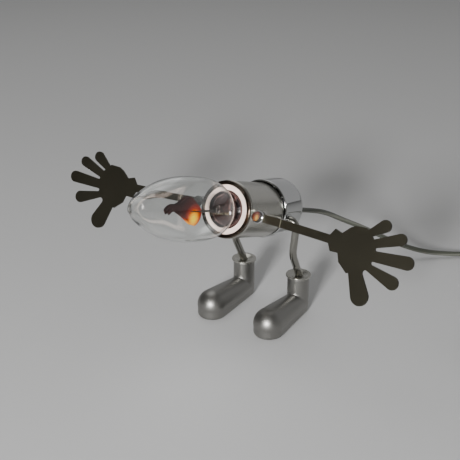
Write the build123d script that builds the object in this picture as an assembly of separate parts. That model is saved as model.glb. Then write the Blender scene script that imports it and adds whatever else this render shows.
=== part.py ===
from build123d import *

import os
from math import cos, pi, radians, sin, sqrt, tan

# Desk lamp shaped like a small robot that leans forward: a metal lampholder on its side is
# the body, a flame bulb is the head, two flat steel hands hang from screws at the rim, and
# two bent rods in cast shoes carry it. Millimetres, +Z up, the robot faces -Y and its left
# hand points to +X. The soles stand on z = 0.

# ---- where the body stands
RIM_Y = 6.0  # centre of the lampholder's open end
RIM_Z = 99.5
TILT = 19.2  # the body's axis rises this much towards the front, in degrees

# ---- fits
SLIP = 0.05  # radial clearance of a turning pair
SEAT = 0.1  # gap between pieces that are put together dry

# ---- lampholder, heights measured along its axis from the rim, negative to the rear
SLEEVE_R = 20.0
SLEEVE_WALL = 1.1
SLEEVE_END = -47.5
BEAD_TOP = -3.1
BEAD_BOTTOM = -4.3
BEAD_OUT = 0.4
BEZEL_T = 2.6
BEZEL_IN_R = SLEEVE_R - 2.8
SPIGOT_T = 0.8
SPIGOT_LONG = 3.0
CERAMIC_TOP = -0.8
CERAMIC_BACK = -38.0
LEDGE = -26.7  # step that the screw shell stands on
RECESS_R = 9.0
RECESS_FLOOR = -31.5
SHELL_R = 13.5
SHELL_WALL = 0.45
SHELL_TOP = -1.3
SHELL_FLANGE_T = 0.6
RIVET_R = 1.0
TERMINAL_X = SLEEVE_R - 7.8
TERMINAL_SIZE = (6.0, 7.6, 4.6)
STRAP_T = 0.8
STRAP_WIDE = 4.0
WIRE_HOLE_Y = -2.0
TERMINAL_SCREW_Y = 1.7
TERMINAL_SCREW_R = 1.25
BRACKET_T = 1.2
BRACKET_RING = 3.3
BRACKET_BAR = 7.0
CORE_SCREW_Y = SLEEVE_R - 8.5
CORE_SCREW_R = 1.5
CORE_SCREW_LONG = 8.0
CAP_WALL = 1.2
DOME_R = SLEEVE_R - 4.4
DOME_END_R = 8.6
DOME_END = -58.0
DOME_FLOOR_T = 3.0
CORE_R = 0.9  # insulated core inside the lampholder
CORE_SPREAD = 1.3
CORE_IN = 2.0  # how far a core goes into its terminal, and past the cap's floor
CORE_DROP = 4.0
CORE_BEND = 4.0
NIPPLE_R = 5.0
NIPPLE_BORE_R = 3.2
NIPPLE_END = -84.2
SPACER_R = 8.0

# ---- rear cup, on an axis of its own that is more level than the body's
CUP_MOUTH = -48.0
CUP_LIFT = 0.9
CUP_PITCH = 5.5  # its mouth points this much lower than the body's axis
CUP_R = SLEEVE_R + 1.45
CUP_WALL = 1.0
CUP_DEEP = 31.0
CUP_CORNER = 9.0
WASHER_R = 9.0
NUT_TOP = -81.2
NUT_LONG = 7.0
NUT_R = 8.0
NUT_LIP = 2.0

# ---- arms
ARM_T = 1.5
ARM_MID = -5.3  # the ear's middle plane, along the body's axis
PIVOT_OUT = 5.0  # from the sleeve's skin to the arm's pivot
PIVOT_LIFT = 0.3
EAR_R = 4.3
STRIP_WIDE = 5.6
FOLD_AT = 17.0
FOLD_ANGLE = 4.8
CUFF_OUTLINE = ((56, 2.8), (59, 7.5), (64.5, 6.0), (64.5, -7.0), (58.5, -7.4), (56, -2.8))  # (out, up)
PALM_OUTLINE = (
    (64.3, 6.0), (64.3, -7.0), (66.5, -12.5), (73.5, -17.8), (84.5, -12), (88.5, -7), (91, 2),
    (86, 9), (80.5, 13.7), (73, 13), (69.5, 11),
)
FINGERS = (
    ((84.0, 11.3), 2.4, (92.6, 17.9), 4.0),
    ((88.0, 5.4), 2.75, (104.9, 12.6), 3.8),
    ((89.2, -2.2), 3.4, (112.5, -0.1), 4.3),
    ((85.8, -9.3), 2.1, (105.6, -14.6), 4.4),
    ((79.3, -15.5), 4.6, (86.2, -29.0), 6.3),
)  # root, its radius, tip, its radius
FINGER_WEBS = (
    ((85.29, 1.1), (90.02, 3.52), (90.6, 1.11)),
    ((83.96, -6.38), (89.78, -5.27), (89.64, -8.06)),
    ((79.78, -8.71), (87.54, -11.91), (84.54, -15.62)),
)  # corners of what fills the roots of three gaps
FINGER_GAPS = ((90.44, 2.35, 0.95), (89.85, -6.67, 1.1), (86.62, -14.24, 2.2))  # round ends: out, up, radius
LEFT_DROOP = 1.5
RIGHT_DROOP = 2.5
HEAD_R = 4.5
HEAD_HIGH = 2.4
HEAD_EDGE = 0.7
SHOULDER_R = 2.5
ARM_THREAD_R = 2.0
ARM_WASHER_T = 0.5
LUG_T = 4.0
LUG_R = 4.2

# ---- legs; the hip is given in the cup's own frame
HIP_BACK = -4.2
HIP_DROP = -3.7
BUSH_FLANGE_R = 4.1
BUSH_R = 3.0
BUSH_OUT = 0.95
BUSH_IN = 2.5
STUB_R = 2.0
STUB_PAST = 3.4
HIP_NUT_AF = 7.0
HIP_NUT_T = 3.2
LEG_R = 2.8
LEG_OUT = 7.55  # from the cup's skin to the leg's upper corner
LEG_TOP_BEND = 5.3
KNEE_X = CUP_R + 4.15
KNEE_FWD = 0.8
KNEE_Z = 52.5
KNEE_BEND = 22.0
LEG_END = (KNEE_X - 0.56, 70.5, 24.1)
ANKLE_X = KNEE_X - 0.8
ANKLE_Y = 66.8
ANKLE_R = 8.3
ANKLE_TOP = 30.4
COLLAR_R = 9.6
COLLAR_T = 1.3
COLLAR_SPIGOT_R = 7.0
COLLAR_SPIGOT = 2.4
COLLAR_MOUTH_R = 7.4
COLLAR_DISH_R = 4.0
COLLAR_DISH = 1.3
HEEL_Z = 8.5
TOE_Z = 9.4
TOE_R = 11.5
FOOT_LONG = 41.9
TOE_OUT = 0.8
SOLE_GAP = 0.3
SIDE_IN = 0.2
SIDE_TOP = 8.0
SOLE_EDGE = 2.5
PAD_T = 1.1
PAD_WIDE = 7.2
PAD_LONG = 26.0
PAD_AT = 27.0

# ---- bulb, heights from the rim along the body's axis
GLASS_NECK = (11.9, 3.4)  # (radius, height)
GLASS_FLARE = 0.42  # growth of the radius where the neck meets the body
GLASS_OUTLINE = (
    (14.0, 8.2), (19.7, 21.0), (21.5, 36.8), (21.1, 52.6),
    (18.6, 68.4), (14.1, 82.0), (9.4, 92.0), (4.5, 99.5),
)  # (radius, height)
GLASS_TIP = 103.0
GLASS_NECK_R = 11.6
GLASS_WALL = 0.8
NECK_FOOT_R = 11.5
NECK_FOOT = -6.0
CAP_CREST_R = 12.9
CAP_ROOT_R = 12.15
CAP_IN_R = 11.6
CAP_TOP = -2.0
CAP_END = -24.4
THREAD_PITCH = 3.62
THREADS = 5
INSULATOR_R = 8.5
INSULATOR_END_R = 4.9
INSULATOR_END = -26.9
CONTACT_R = 4.5
CONTACT_END = -27.8
STEM_R = 3.4
STEM_END = 12.0
STEM_HOLLOW = 7.0
STEM_END_R = 2.8
SUPPORT_R = 0.4
SUPPORT_END = 42.0
SUPPORT_DROP = -1.2
PLATE_X = 1.2
PLATE_T = 0.4
FLAME_OUTLINE = (
    (66.1, -3.5), (67.9, -1.4), (62.9, 2.8), (57.7, 3.1), (48.6, 8.1), (44.2, 8.4), (37.5, 4.7),
    (31.5, 0.9), (29.7, -1.9), (34.5, -10.7), (40.4, -9.5), (48.0, -5.6), (56.0, -2.4), (61.6, -1.4),
    (64.6, -3.2),
)  # (along the body's axis, up)

# ---- cord
CORD_R = 2.1
RELIEF_FLANGE_R = 4.9
RELIEF_FLANGE_T = 1.8
RELIEF_NECK_R = 3.5
RELIEF_R = 4.3
RELIEF_END_R = 2.9
RELIEF_END = -105.0
FLOOR_CORD_Z = 2.15
SWITCH_LONG = 58.0
SWITCH_WIDE = 24.0
SWITCH_HIGH = 14.0
SWITCH_CORNER = 8.0
SWITCH_WALL = 1.6
SWITCH_AT = (178.4, 211.8)  # where the cord enters it
SWITCH_HEADING = -72.5
SWITCH_CORD_Z = 7.0
ROCKER_LONG = 13.6
ROCKER_WIDE = 8.0
ROCKER_TILT = 8.0
ROCKER_PIN_R = 1.4
ROCKER_PIN_LONG = 11.2
ROCKER_Z = 10.6
SWITCH_SCREW_X = 19.0
SWITCH_SCREW_R = 1.25
SWITCH_SCREW_TOP = 10.0
SWITCH_CONTACT_X = 9.5
SWITCH_CONTACT_LONG = 9.0
CHEEK_LONG = 8.0
COIL_R = 25.0
COIL_WIDE = 13.9
COIL_HIGH = 17.0
COIL_AT = (180.9, 104.6)
PLUG_AT = (216.5, 46.2, 6.85)  # where the cord enters it
PLUG_HEADING = -88.0
PLUG_LONG = 36.0
PLUG_WIDE = 26.0
PLUG_HIGH = 13.7
PLUG_TAIL = 10.0
PIN_R = 2.0
PIN_LONG = 19.0
PIN_IN = 8.0  # how far a pin goes into the plug
PIN_APART = 18.6
LAMP_ROUTE = (
    (5.2, 140.6, 52.3), (12.4, 157.1, 41.6), (27.4, 176.1, 29.4), (47.7, 193.0, 15.0),
    (65.9, 207.3, 6.3), (85.8, 223.5, 3.0), (105.1, 239.0, FLOOR_CORD_Z), (122.7, 252.3, FLOOR_CORD_Z),
    (142.3, 256.5, FLOOR_CORD_Z), (160.1, 250.0, 2.4), (170.6, 236.6, 3.6), (174.8, 223.2, SWITCH_CORD_Z),
    (178.4, 211.8, SWITCH_CORD_Z),
)  # after the lampholder's end and the first point behind it
LAMP_FIRST_RUN = 13.1
LINK_ROUTE = (
    (200.3, 142.2, SWITCH_CORD_Z), (204.8, 127.9, 3.9), (209.3, 113.6, FLOOR_CORD_Z),
)  # after the switch, into the coil's lowest outer turn
PLUG_ROUTE = (
    (210.2, 109.8, 14.9), (213.7, 90.1, 14.0), (215.6, 72.2, 10.0), (216.1, 58.2, 6.85), PLUG_AT,
)  # from the coil's highest outer turn to the plug

# ---- frames that everything hangs on
BODY = Plane(
    origin=(0, RIM_Y, RIM_Z),
    x_dir=(1, 0, 0),
    z_dir=(0, -cos(radians(TILT)), sin(radians(TILT))),
).location  # local z is the body's axis, local y is up
CUP = BODY * Pos(0, CUP_LIFT, CUP_MOUTH) * Rot(CUP_PITCH, 0, 0)
PIVOT_X = SLEEVE_R + PIVOT_OUT
PIVOT = (PIVOT_X, PIVOT_LIFT)
SLEEVE_BORE_R = SLEEVE_R - SLEEVE_WALL
CERAMIC_R = SLEEVE_BORE_R - SEAT
SPIGOT_R = SLEEVE_BORE_R - SLIP
SPIGOT_END = -BEZEL_T - SPIGOT_LONG
HIP = (CUP * Pos(0, HIP_DROP, HIP_BACK)).position
CUP_FLOOR = CUP * Pos(0, 0, CUP_WALL - CUP_DEEP)  # inside face of the cup's end
CUP_BACK = CUP * Pos(0, 0, -CUP_DEEP)
CAP_SPIGOT_TOP = CERAMIC_BACK - BRACKET_T
HIP_FACE = CUP_R + BUSH_OUT


def turned(*outline):
    """A solid of revolution about Z from (radius, height) corners."""
    corners = [(radius, 0, height) for radius, height in outline]
    return revolve(make_face(Polyline(*corners, close=True)), Axis.Z)


def bar(radius, low, high, x=0.0, y=0.0):
    """A round bar along Z between two heights."""
    return Pos(x, y, low) * Cylinder(radius, high - low, align=(Align.CENTER, Align.CENTER, Align.MIN))


def cross_bar(radius, low, high, y=0.0, z=0.0):
    """A round bar along X between two places."""
    return Pos(low, y, z) * Rot(0, 90, 0) * Cylinder(
        radius, high - low, align=(Align.CENTER, Align.CENTER, Align.MIN)
    )


def block(size, low, x=0.0, y=0.0):
    """A box that stands on a height."""
    return Pos(x, y, low) * Box(*size, align=(Align.CENTER, Align.CENTER, Align.MIN))


def behind(solid, place):
    """What is left of a solid on the far side of a plane, away from its normal."""
    return split(solid, bisect_by=Plane(place), keep=Keep.BOTTOM)


def ahead(solid, place):
    """What is left of a solid on the side that the plane's normal points to."""
    return split(solid, bisect_by=Plane(place), keep=Keep.TOP)


def bent_rod(points, radii, radius):
    """A round rod along straight runs joined by arcs."""
    path = FilletPolyline(*points, radius=radii)
    return sweep(Plane(path @ 0, z_dir=path % 0) * Circle(radius), path=path)


# ---- lampholder


def bezel_ring():
    """Front ring, with a spigot inside the sleeve that holds the ceramic back."""
    edge = 0.4
    return turned(
        (BEZEL_IN_R, -edge), (BEZEL_IN_R + edge, 0), (SLEEVE_R - edge, 0), (SLEEVE_R, -edge),
        (SLEEVE_R, -BEZEL_T), (SPIGOT_R, -BEZEL_T), (SPIGOT_R, SPIGOT_END),
        (SPIGOT_R - SPIGOT_T, SPIGOT_END), (SPIGOT_R - SPIGOT_T, -BEZEL_T), (BEZEL_IN_R, -BEZEL_T),
    )


def holder_sleeve():
    """Plain tube with one rolled bead behind the bezel."""
    tube = turned(
        (SLEEVE_BORE_R, -BEZEL_T), (SLEEVE_R, -BEZEL_T), (SLEEVE_R, SLEEVE_END), (SLEEVE_BORE_R, SLEEVE_END)
    )
    bead = turned(
        (SLEEVE_BORE_R, BEAD_TOP), (SLEEVE_R, BEAD_TOP),
        (SLEEVE_R + BEAD_OUT, BEAD_TOP - BEAD_OUT), (SLEEVE_R + BEAD_OUT, BEAD_BOTTOM + BEAD_OUT),
        (SLEEVE_R, BEAD_BOTTOM), (SLEEVE_BORE_R, BEAD_BOTTOM),
    )
    return tube + bead


def ceramic_insert():
    """Body of the socket: bore for the screw shell, recess for the contact, rear pockets."""
    neck = BEZEL_IN_R - SEAT
    waist = SPIGOT_R - SPIGOT_T - SEAT
    bore = SHELL_R + SEAT
    body = turned(
        (bore, CERAMIC_TOP), (neck, CERAMIC_TOP), (neck, -BEZEL_T - SEAT), (waist, -BEZEL_T - SEAT),
        (waist, SPIGOT_END), (CERAMIC_R, SPIGOT_END), (CERAMIC_R, CERAMIC_BACK), (0, CERAMIC_BACK),
        (0, RECESS_FLOOR), (RECESS_R, RECESS_FLOOR), (RECESS_R, LEDGE), (bore, LEDGE),
    )
    wide, tall, deep = TERMINAL_SIZE
    pocket = (wide + 2 * SEAT, tall + 2 * SEAT, deep + 2 * SEAT)
    for side in (-1, 1):
        body -= block(pocket, CERAMIC_BACK, side * TERMINAL_X)
        body -= bar(CORE_SCREW_R, CERAMIC_BACK, CERAMIC_BACK + CORE_SCREW_LONG, y=side * CORE_SCREW_Y)
    body -= bar(RIVET_R + SLIP, CERAMIC_BACK + deep, LEDGE, TERMINAL_X)
    slot_end = RIVET_R + SEAT
    slot = (TERMINAL_X + slot_end, STRAP_WIDE + 2 * SEAT, STRAP_T + 2 * SEAT)
    body -= block(slot, CERAMIC_BACK, (slot_end - TERMINAL_X) / 2)
    return body - bar(RIVET_R + SLIP, CERAMIC_BACK, RECESS_FLOOR)


def screw_shell():
    """Brass shell for the bulb's thread, with the rivet down to the neutral terminal."""
    shell = turned(
        (SHELL_R - SHELL_WALL, SHELL_TOP), (SHELL_R, SHELL_TOP), (SHELL_R, LEDGE),
        (RECESS_R + SEAT, LEDGE), (RECESS_R + SEAT, LEDGE + SHELL_FLANGE_T),
        (SHELL_R - SHELL_WALL, LEDGE + SHELL_FLANGE_T),
    )
    foot = CERAMIC_BACK + SEAT + TERMINAL_SIZE[2]
    return shell + bar(RIVET_R, foot, LEDGE, TERMINAL_X)


def centre_contact():
    """Brass tongue that presses on the bulb's tip, on a rivet through the ceramic."""
    thick = 0.5
    half = 2.5
    top = CONTACT_END - SLIP
    reach = RECESS_R - 2.0
    side = Polyline(
        (-half, 0, RECESS_FLOOR), (reach, 0, RECESS_FLOOR), (reach, 0, RECESS_FLOOR + thick),
        (half, 0, top), (-half, 0, top), (-half, 0, top - thick), (half - 0.4, 0, top - thick),
        (reach - 1.2, 0, RECESS_FLOOR + thick), (-half, 0, RECESS_FLOOR + thick), close=True,
    )
    tongue = extrude(make_face(side), amount=half, both=True)
    return tongue + bar(RIVET_R, CERAMIC_BACK + SEAT + STRAP_T, RECESS_FLOOR)


def terminal(side):
    """Brass clamp block with a hole for the wire and a tapped hole for the screw."""
    block_x = side * TERMINAL_X
    solid = block(TERMINAL_SIZE, CERAMIC_BACK + SEAT, block_x)
    deep = CERAMIC_BACK + TERMINAL_SIZE[2] - 1.0
    solid -= bar(CORE_R + SEAT, CERAMIC_BACK, deep, block_x, WIRE_HOLE_Y)
    return solid - bar(TERMINAL_SCREW_R, CERAMIC_BACK, deep, block_x, TERMINAL_SCREW_Y)


def line_terminal():
    """Clamp block with a strap to the centre contact's rivet."""
    long = TERMINAL_X - TERMINAL_SIZE[0] / 2 + RIVET_R
    start = -TERMINAL_X + TERMINAL_SIZE[0] / 2
    strap = block((long, STRAP_WIDE, STRAP_T), CERAMIC_BACK + SEAT, start + long / 2)
    return terminal(-1) + strap


def terminal_screws():
    """Two cheese-head screws that hold the wires."""
    head = CERAMIC_BACK + SEAT
    screws = []
    for side in (-1, 1):
        shank = bar(TERMINAL_SCREW_R, head, head + 3.0, side * TERMINAL_X, TERMINAL_SCREW_Y)
        top = bar(1.9, head - 0.9, head, side * TERMINAL_X, TERMINAL_SCREW_Y)
        screws.append(shank + top)
    return Compound(children=screws)


def core_bracket():
    """Steel ring with one bar across, screwed to the ceramic's back."""
    ring = turned(
        (SPIGOT_R - BRACKET_RING, CERAMIC_BACK), (SPIGOT_R, CERAMIC_BACK),
        (SPIGOT_R, CAP_SPIGOT_TOP), (SPIGOT_R - BRACKET_RING, CAP_SPIGOT_TOP),
    )
    plate = block((BRACKET_BAR, 2 * SPIGOT_R - 2, BRACKET_T), CAP_SPIGOT_TOP)
    bracket = ring + plate
    for side in (-1, 1):
        bracket -= bar(CORE_SCREW_R + SEAT, CAP_SPIGOT_TOP, CERAMIC_BACK, y=side * CORE_SCREW_Y)
    return bracket


def core_screws():
    """Two pan-head screws through the bracket."""
    screws = []
    for side in (-1, 1):
        shank = bar(CORE_SCREW_R, CAP_SPIGOT_TOP, CERAMIC_BACK + CORE_SCREW_LONG, y=side * CORE_SCREW_Y)
        head = bar(2 * CORE_SCREW_R - 0.2, CAP_SPIGOT_TOP - 1.6, CAP_SPIGOT_TOP, y=side * CORE_SCREW_Y)
        screws.append(shank + head)
    return Compound(children=screws)


def core_wire(side):
    """Insulated core from a terminal to the cord's moulded end."""
    x = side * TERMINAL_X
    points = (
        (x, WIRE_HOLE_Y, CERAMIC_BACK + CORE_IN), (x, WIRE_HOLE_Y, CAP_SPIGOT_TOP - CORE_DROP),
        (side * CORE_SPREAD, 0, DOME_END + DOME_FLOOR_T + CORE_IN),
        (side * CORE_SPREAD, 0, NIPPLE_END - SEAT),
    )
    return bent_rod(points, [CORE_BEND, CORE_BEND], CORE_R)


def holder_cap():
    """Rear cap that plugs into the sleeve; its neck is tapped for the nipple."""
    wall = CAP_WALL
    return turned(
        (SPIGOT_R - wall, CAP_SPIGOT_TOP), (SPIGOT_R, CAP_SPIGOT_TOP), (SPIGOT_R, SLEEVE_END),
        (DOME_R, SLEEVE_END), (DOME_R - 1.6, SLEEVE_END - 6.0), (DOME_END_R, DOME_END),
        (NIPPLE_R, DOME_END), (NIPPLE_R, DOME_END + DOME_FLOOR_T),
        (DOME_END_R - wall, DOME_END + DOME_FLOOR_T),
        (DOME_R - 1.6 - wall, SLEEVE_END - 5.0), (DOME_R - wall, SLEEVE_END + wall),
        (SPIGOT_R - wall, SLEEVE_END + wall),
    )


def entry_nipple():
    """Threaded tube that ties the lampholder to the cup and lets the cores in."""
    return turned(
        (NIPPLE_BORE_R, DOME_END + DOME_FLOOR_T), (NIPPLE_R, DOME_END + DOME_FLOOR_T),
        (NIPPLE_R, NIPPLE_END), (NIPPLE_BORE_R, NIPPLE_END),
    )


def nipple_spacer():
    """Tube over the nipple between the lampholder and the cup's end."""
    tube = turned(
        (NIPPLE_R + SLIP, DOME_END), (SPACER_R, DOME_END), (SPACER_R, NUT_TOP), (NIPPLE_R + SLIP, NUT_TOP)
    )
    return ahead(BODY * tube, CUP_FLOOR)


def cup_shell():
    """The cup about its own axis, mouth at z = 0."""
    flat = CUP_R - CUP_CORNER
    bend_z = CUP_CORNER - CUP_DEEP
    inner = CUP_CORNER - CUP_WALL
    slant = sqrt(0.5)
    outline = [
        Line((CUP_R, 0, 0), (CUP_R, 0, bend_z)),
        ThreePointArc(
            (CUP_R, 0, bend_z),
            (flat + CUP_CORNER * slant, 0, bend_z - CUP_CORNER * slant),
            (flat, 0, -CUP_DEEP),
        ),
        Polyline(
            (flat, 0, -CUP_DEEP), (0, 0, -CUP_DEEP), (0, 0, CUP_WALL - CUP_DEEP),
            (flat, 0, CUP_WALL - CUP_DEEP),
        ),
        ThreePointArc(
            (flat, 0, CUP_WALL - CUP_DEEP),
            (flat + inner * slant, 0, bend_z - inner * slant),
            (CUP_R - CUP_WALL, 0, bend_z),
        ),
        Polyline((CUP_R - CUP_WALL, 0, bend_z), (CUP_R - CUP_WALL, 0, 0), (CUP_R, 0, 0)),
    ]
    edges = [edge for line in outline for edge in line.edges()]
    return revolve(make_face(edges), Axis.Z)


def rear_cup():
    """Deep drawn cup around the rear of the lampholder, bored for the nipple and both hips."""
    cup = CUP * cup_shell()
    cup -= BODY * bar(NIPPLE_R + SEAT, NIPPLE_END, DOME_END)
    for side in (-1, 1):
        low, high = sorted((side * (CUP_R - 3 * CUP_WALL), side * (CUP_R + CUP_WALL)))
        cup -= cross_bar(BUSH_R + SLIP, low, high, HIP.Y, HIP.Z)
    return cup


def seat_washer():
    """Wedge washer that makes up the angle between the cup's end and the gland nut."""
    inner = NIPPLE_R + SLIP
    disc = turned((inner, NUT_TOP), (WASHER_R, NUT_TOP), (WASHER_R, DOME_END), (inner, DOME_END))
    return behind(BODY * disc, CUP_BACK)


def gland_nut():
    """Round nut on the nipple whose lip traps the cord's moulded flange."""
    end = NUT_TOP - NUT_LONG
    lip = end + NUT_LIP
    return turned(
        (NIPPLE_R, NUT_TOP), (NUT_R, NUT_TOP), (NUT_R, end), (RELIEF_NECK_R + SEAT, end),
        (RELIEF_NECK_R + SEAT, lip), (NIPPLE_R, lip),
    )


def strain_relief():
    """Tapered sleeve moulded on the cord, with the flange that the gland nut holds."""
    top = NIPPLE_END - SEAT
    flange_end = top - RELIEF_FLANGE_T
    nut_end = NUT_TOP - NUT_LONG - SEAT
    return turned(
        (0, top), (RELIEF_FLANGE_R, top), (RELIEF_FLANGE_R, flange_end), (RELIEF_NECK_R, flange_end),
        (RELIEF_NECK_R, nut_end), (RELIEF_R, nut_end), (RELIEF_END_R, RELIEF_END), (0, RELIEF_END),
    )


# ---- arms, made for the left side in the body's frame and mirrored for the right


def arm_lug():
    """Block welded to the sleeve that takes the arm's screw."""
    top = ARM_MID - ARM_T / 2 - SEAT - ARM_WASHER_T - SLIP
    post = bar(LUG_R, top - LUG_T, top, *PIVOT)
    web = block((PIVOT_OUT + 3, 2 * LUG_R, LUG_T), top - LUG_T, PIVOT_X - (PIVOT_OUT + 3) / 2, PIVOT_LIFT)
    return post + web - bar(SLEEVE_R, top - LUG_T, top) - bar(ARM_THREAD_R, top - LUG_T, top, *PIVOT)


def arm_screw():
    """Flat-headed shoulder screw: the arm turns on its shoulder."""
    seat = ARM_MID + ARM_T / 2 + SEAT
    shoulder_end = ARM_MID - ARM_T / 2 - SEAT - ARM_WASHER_T - SLIP
    head = bar(HEAD_R, seat, seat + HEAD_HIGH)
    head = fillet(head.edges().sort_by(Axis.Z)[-1], HEAD_EDGE)
    shoulder = bar(SHOULDER_R, shoulder_end, seat)
    thread = bar(ARM_THREAD_R, shoulder_end - LUG_T - 0.5, shoulder_end)
    return Pos(*PIVOT, 0) * (head + shoulder + thread)


def arm_washer():
    """Spring washer that gives the arm its friction."""
    top = ARM_MID - ARM_T / 2 - SEAT
    ring = turned(
        (SHOULDER_R + SEAT, top), (EAR_R - 0.2, top), (EAR_R - 0.2, top - ARM_WASHER_T),
        (SHOULDER_R + SEAT, top - ARM_WASHER_T),
    )
    return Pos(*PIVOT, 0) * ring


def finger(root, root_r, tip, tip_r):
    """A tapered finger with round ends."""
    ends = Pos(*root) * Circle(root_r) + Pos(*tip) * Circle(tip_r)
    return make_hull(ends.edges())


def hand_outline():
    """Ear, strip, cuff, palm, four fingers and thumb, flat, from the pivot outwards."""
    strip_long = CUFF_OUTLINE[0][0] + 2
    shape = Circle(EAR_R) + Pos(strip_long / 2, 0) * Rectangle(strip_long, STRIP_WIDE)
    shape += make_face(Polyline(*CUFF_OUTLINE, close=True))
    shape += make_face(Polyline(*PALM_OUTLINE, close=True))
    for bones in FINGERS:
        shape += finger(*bones)
    for web in FINGER_WEBS:
        shape += make_face(Polyline(*web, close=True))
    for out, up, radius in FINGER_GAPS:
        shape -= Pos(out, up) * Circle(radius)
    return shape


def arm(droop):
    """Flat hand and strip, folded forward a little outside the sleeve."""
    outline = hand_outline() - Circle(SHOULDER_R + SLIP)
    far = 4 * PALM_OUTLINE[0][0]
    inner = outline & (Pos(FOLD_AT - far / 2, 0) * Rectangle(far, far))
    outer = outline & (Pos(FOLD_AT + far / 2, 0) * Rectangle(far, far))
    flat = extrude(inner, amount=ARM_T / 2, both=True)
    fold = Pos(FOLD_AT, 0) * Rot(0, -FOLD_ANGLE, 0) * Pos(-FOLD_AT, 0)
    swept = fold * extrude(outer, amount=ARM_T / 2, both=True)
    crease = Pos(FOLD_AT, 0) * Rot(90, 0, 0) * Cylinder(ARM_T / 2, STRIP_WIDE)
    return Pos(*PIVOT, ARM_MID) * Rot(0, 0, -droop) * (flat + swept + crease)


# ---- legs, made for the left side and mirrored for the right


def leg_bush():
    """Flanged bush in the cup's wall that the leg turns in."""
    flange = cross_bar(BUSH_FLANGE_R, CUP_R - 3 * CUP_WALL, HIP_FACE, HIP.Y, HIP.Z)
    flange -= CUP * Cylinder(CUP_R, 4 * CUP_DEEP)
    barrel = cross_bar(BUSH_R, CUP_R - BUSH_IN, HIP_FACE, HIP.Y, HIP.Z)
    return flange + barrel - cross_bar(STUB_R + SLIP, 0, 2 * CUP_R, HIP.Y, HIP.Z)


def leg_rod():
    """Bent round rod with a turned stub at the hip."""
    start = HIP_FACE + SEAT
    knee = (KNEE_X, HIP.Y + KNEE_FWD, KNEE_Z)
    corner = (CUP_R + LEG_OUT, HIP.Y, HIP.Z)
    rod = bent_rod((LEG_END, knee, corner, (start, HIP.Y, HIP.Z)), [KNEE_BEND, LEG_TOP_BEND], LEG_R)
    return rod + cross_bar(STUB_R, start - BUSH_OUT - BUSH_IN - STUB_PAST, start, HIP.Y, HIP.Z)


def hip_nut():
    """Locknut on the stub inside the cup."""
    high = CUP_R - BUSH_IN - SEAT
    hexagon = RegularPolygon(HIP_NUT_AF / 2, 6, major_radius=False) - Circle(STUB_R)
    return Pos(high - HIP_NUT_T, HIP.Y, HIP.Z) * Rot(0, 90, 0) * extrude(hexagon, amount=HIP_NUT_T)


def foot_body():
    """Round-ended cone from the heel at the origin to the toe up the z axis."""
    slant = sqrt(0.5)
    outline = [
        ThreePointArc((0, 0, -ANKLE_R), (ANKLE_R * slant, 0, -ANKLE_R * slant), (ANKLE_R, 0, 0)),
        Line((ANKLE_R, 0, 0), (TOE_R, 0, FOOT_LONG)),
        ThreePointArc(
            (TOE_R, 0, FOOT_LONG), (TOE_R * slant, 0, FOOT_LONG + TOE_R * slant), (0, 0, FOOT_LONG + TOE_R)
        ),
        Line((0, 0, FOOT_LONG + TOE_R), (0, 0, -ANKLE_R)),
    ]
    edges = [edge for line in outline for edge in line.edges()]
    return revolve(make_face(edges), Axis.Z)


def leg_bore():
    """Slanting hole for the leg, through the collar and into the ankle."""
    leg_way = (KNEE_X - LEG_END[0], HIP.Y + KNEE_FWD - LEG_END[1], KNEE_Z - LEG_END[2])
    return Plane(LEG_END, z_dir=leg_way).location * bar(LEG_R + SLIP, 0, ANKLE_TOP)


def foot_base():
    """Lower part of the foot: upright sides down to the sole's rounded edge."""
    heel_r = ANKLE_R - SIDE_IN
    toe_r = TOE_R - SIDE_IN
    back = (toe_r - heel_r) / FOOT_LONG
    out = sqrt(1 - back**2)
    heel_x, heel_y = heel_r * out, -heel_r * back
    toe_x, toe_y = toe_r * out, -FOOT_LONG - toe_r * back
    outline = [
        Line((heel_x, heel_y), (toe_x, toe_y)),
        ThreePointArc((toe_x, toe_y), (0, -FOOT_LONG - toe_r), (-toe_x, toe_y)),
        Line((-toe_x, toe_y), (-heel_x, heel_y)),
        ThreePointArc((-heel_x, heel_y), (0, heel_r), (heel_x, heel_y)),
    ]
    base = extrude(make_face(outline), SIDE_TOP - SOLE_GAP)
    base = fillet(base.faces().sort_by(Axis.Z)[0].edges(), SOLE_EDGE)
    return Location((ANKLE_X, ANKLE_Y, SOLE_GAP), (0, 0, TOE_OUT)) * base


def shoe():
    """Cast shoe: upright ankle, long foot with a flat sole, slanting bore for the leg."""
    turn = radians(TOE_OUT)
    toe_way = (FOOT_LONG * sin(turn), -FOOT_LONG * cos(turn), TOE_Z - HEEL_Z)
    foot_place = Plane((ANKLE_X, ANKLE_Y, HEEL_Z), x_dir=(1, 0, 0), z_dir=toe_way).location
    body = foot_place * foot_body() + bar(ANKLE_R, HEEL_Z, ANKLE_TOP, ANKLE_X, ANKLE_Y)
    body -= block((4 * FOOT_LONG, 4 * FOOT_LONG, TOE_R), SOLE_GAP - TOE_R, ANKLE_X, ANKLE_Y)
    body += foot_base()
    body -= bar(COLLAR_SPIGOT_R + SLIP, ANKLE_TOP - COLLAR_SPIGOT, ANKLE_TOP, ANKLE_X, ANKLE_Y)
    return body - leg_bore() - pad(SLIP, SOLE_GAP)


def pad(grow, low):
    """The sole pad's outline as a solid, grown for its pocket, up from a height."""
    outline = Rot(0, 0, TOE_OUT + 90) * SlotOverall(PAD_LONG + 2 * grow, PAD_WIDE + 2 * grow)
    x = ANKLE_X + PAD_AT * sin(radians(TOE_OUT))
    return Pos(x, ANKLE_Y - PAD_AT, low) * extrude(outline, amount=PAD_T - low)


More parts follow.
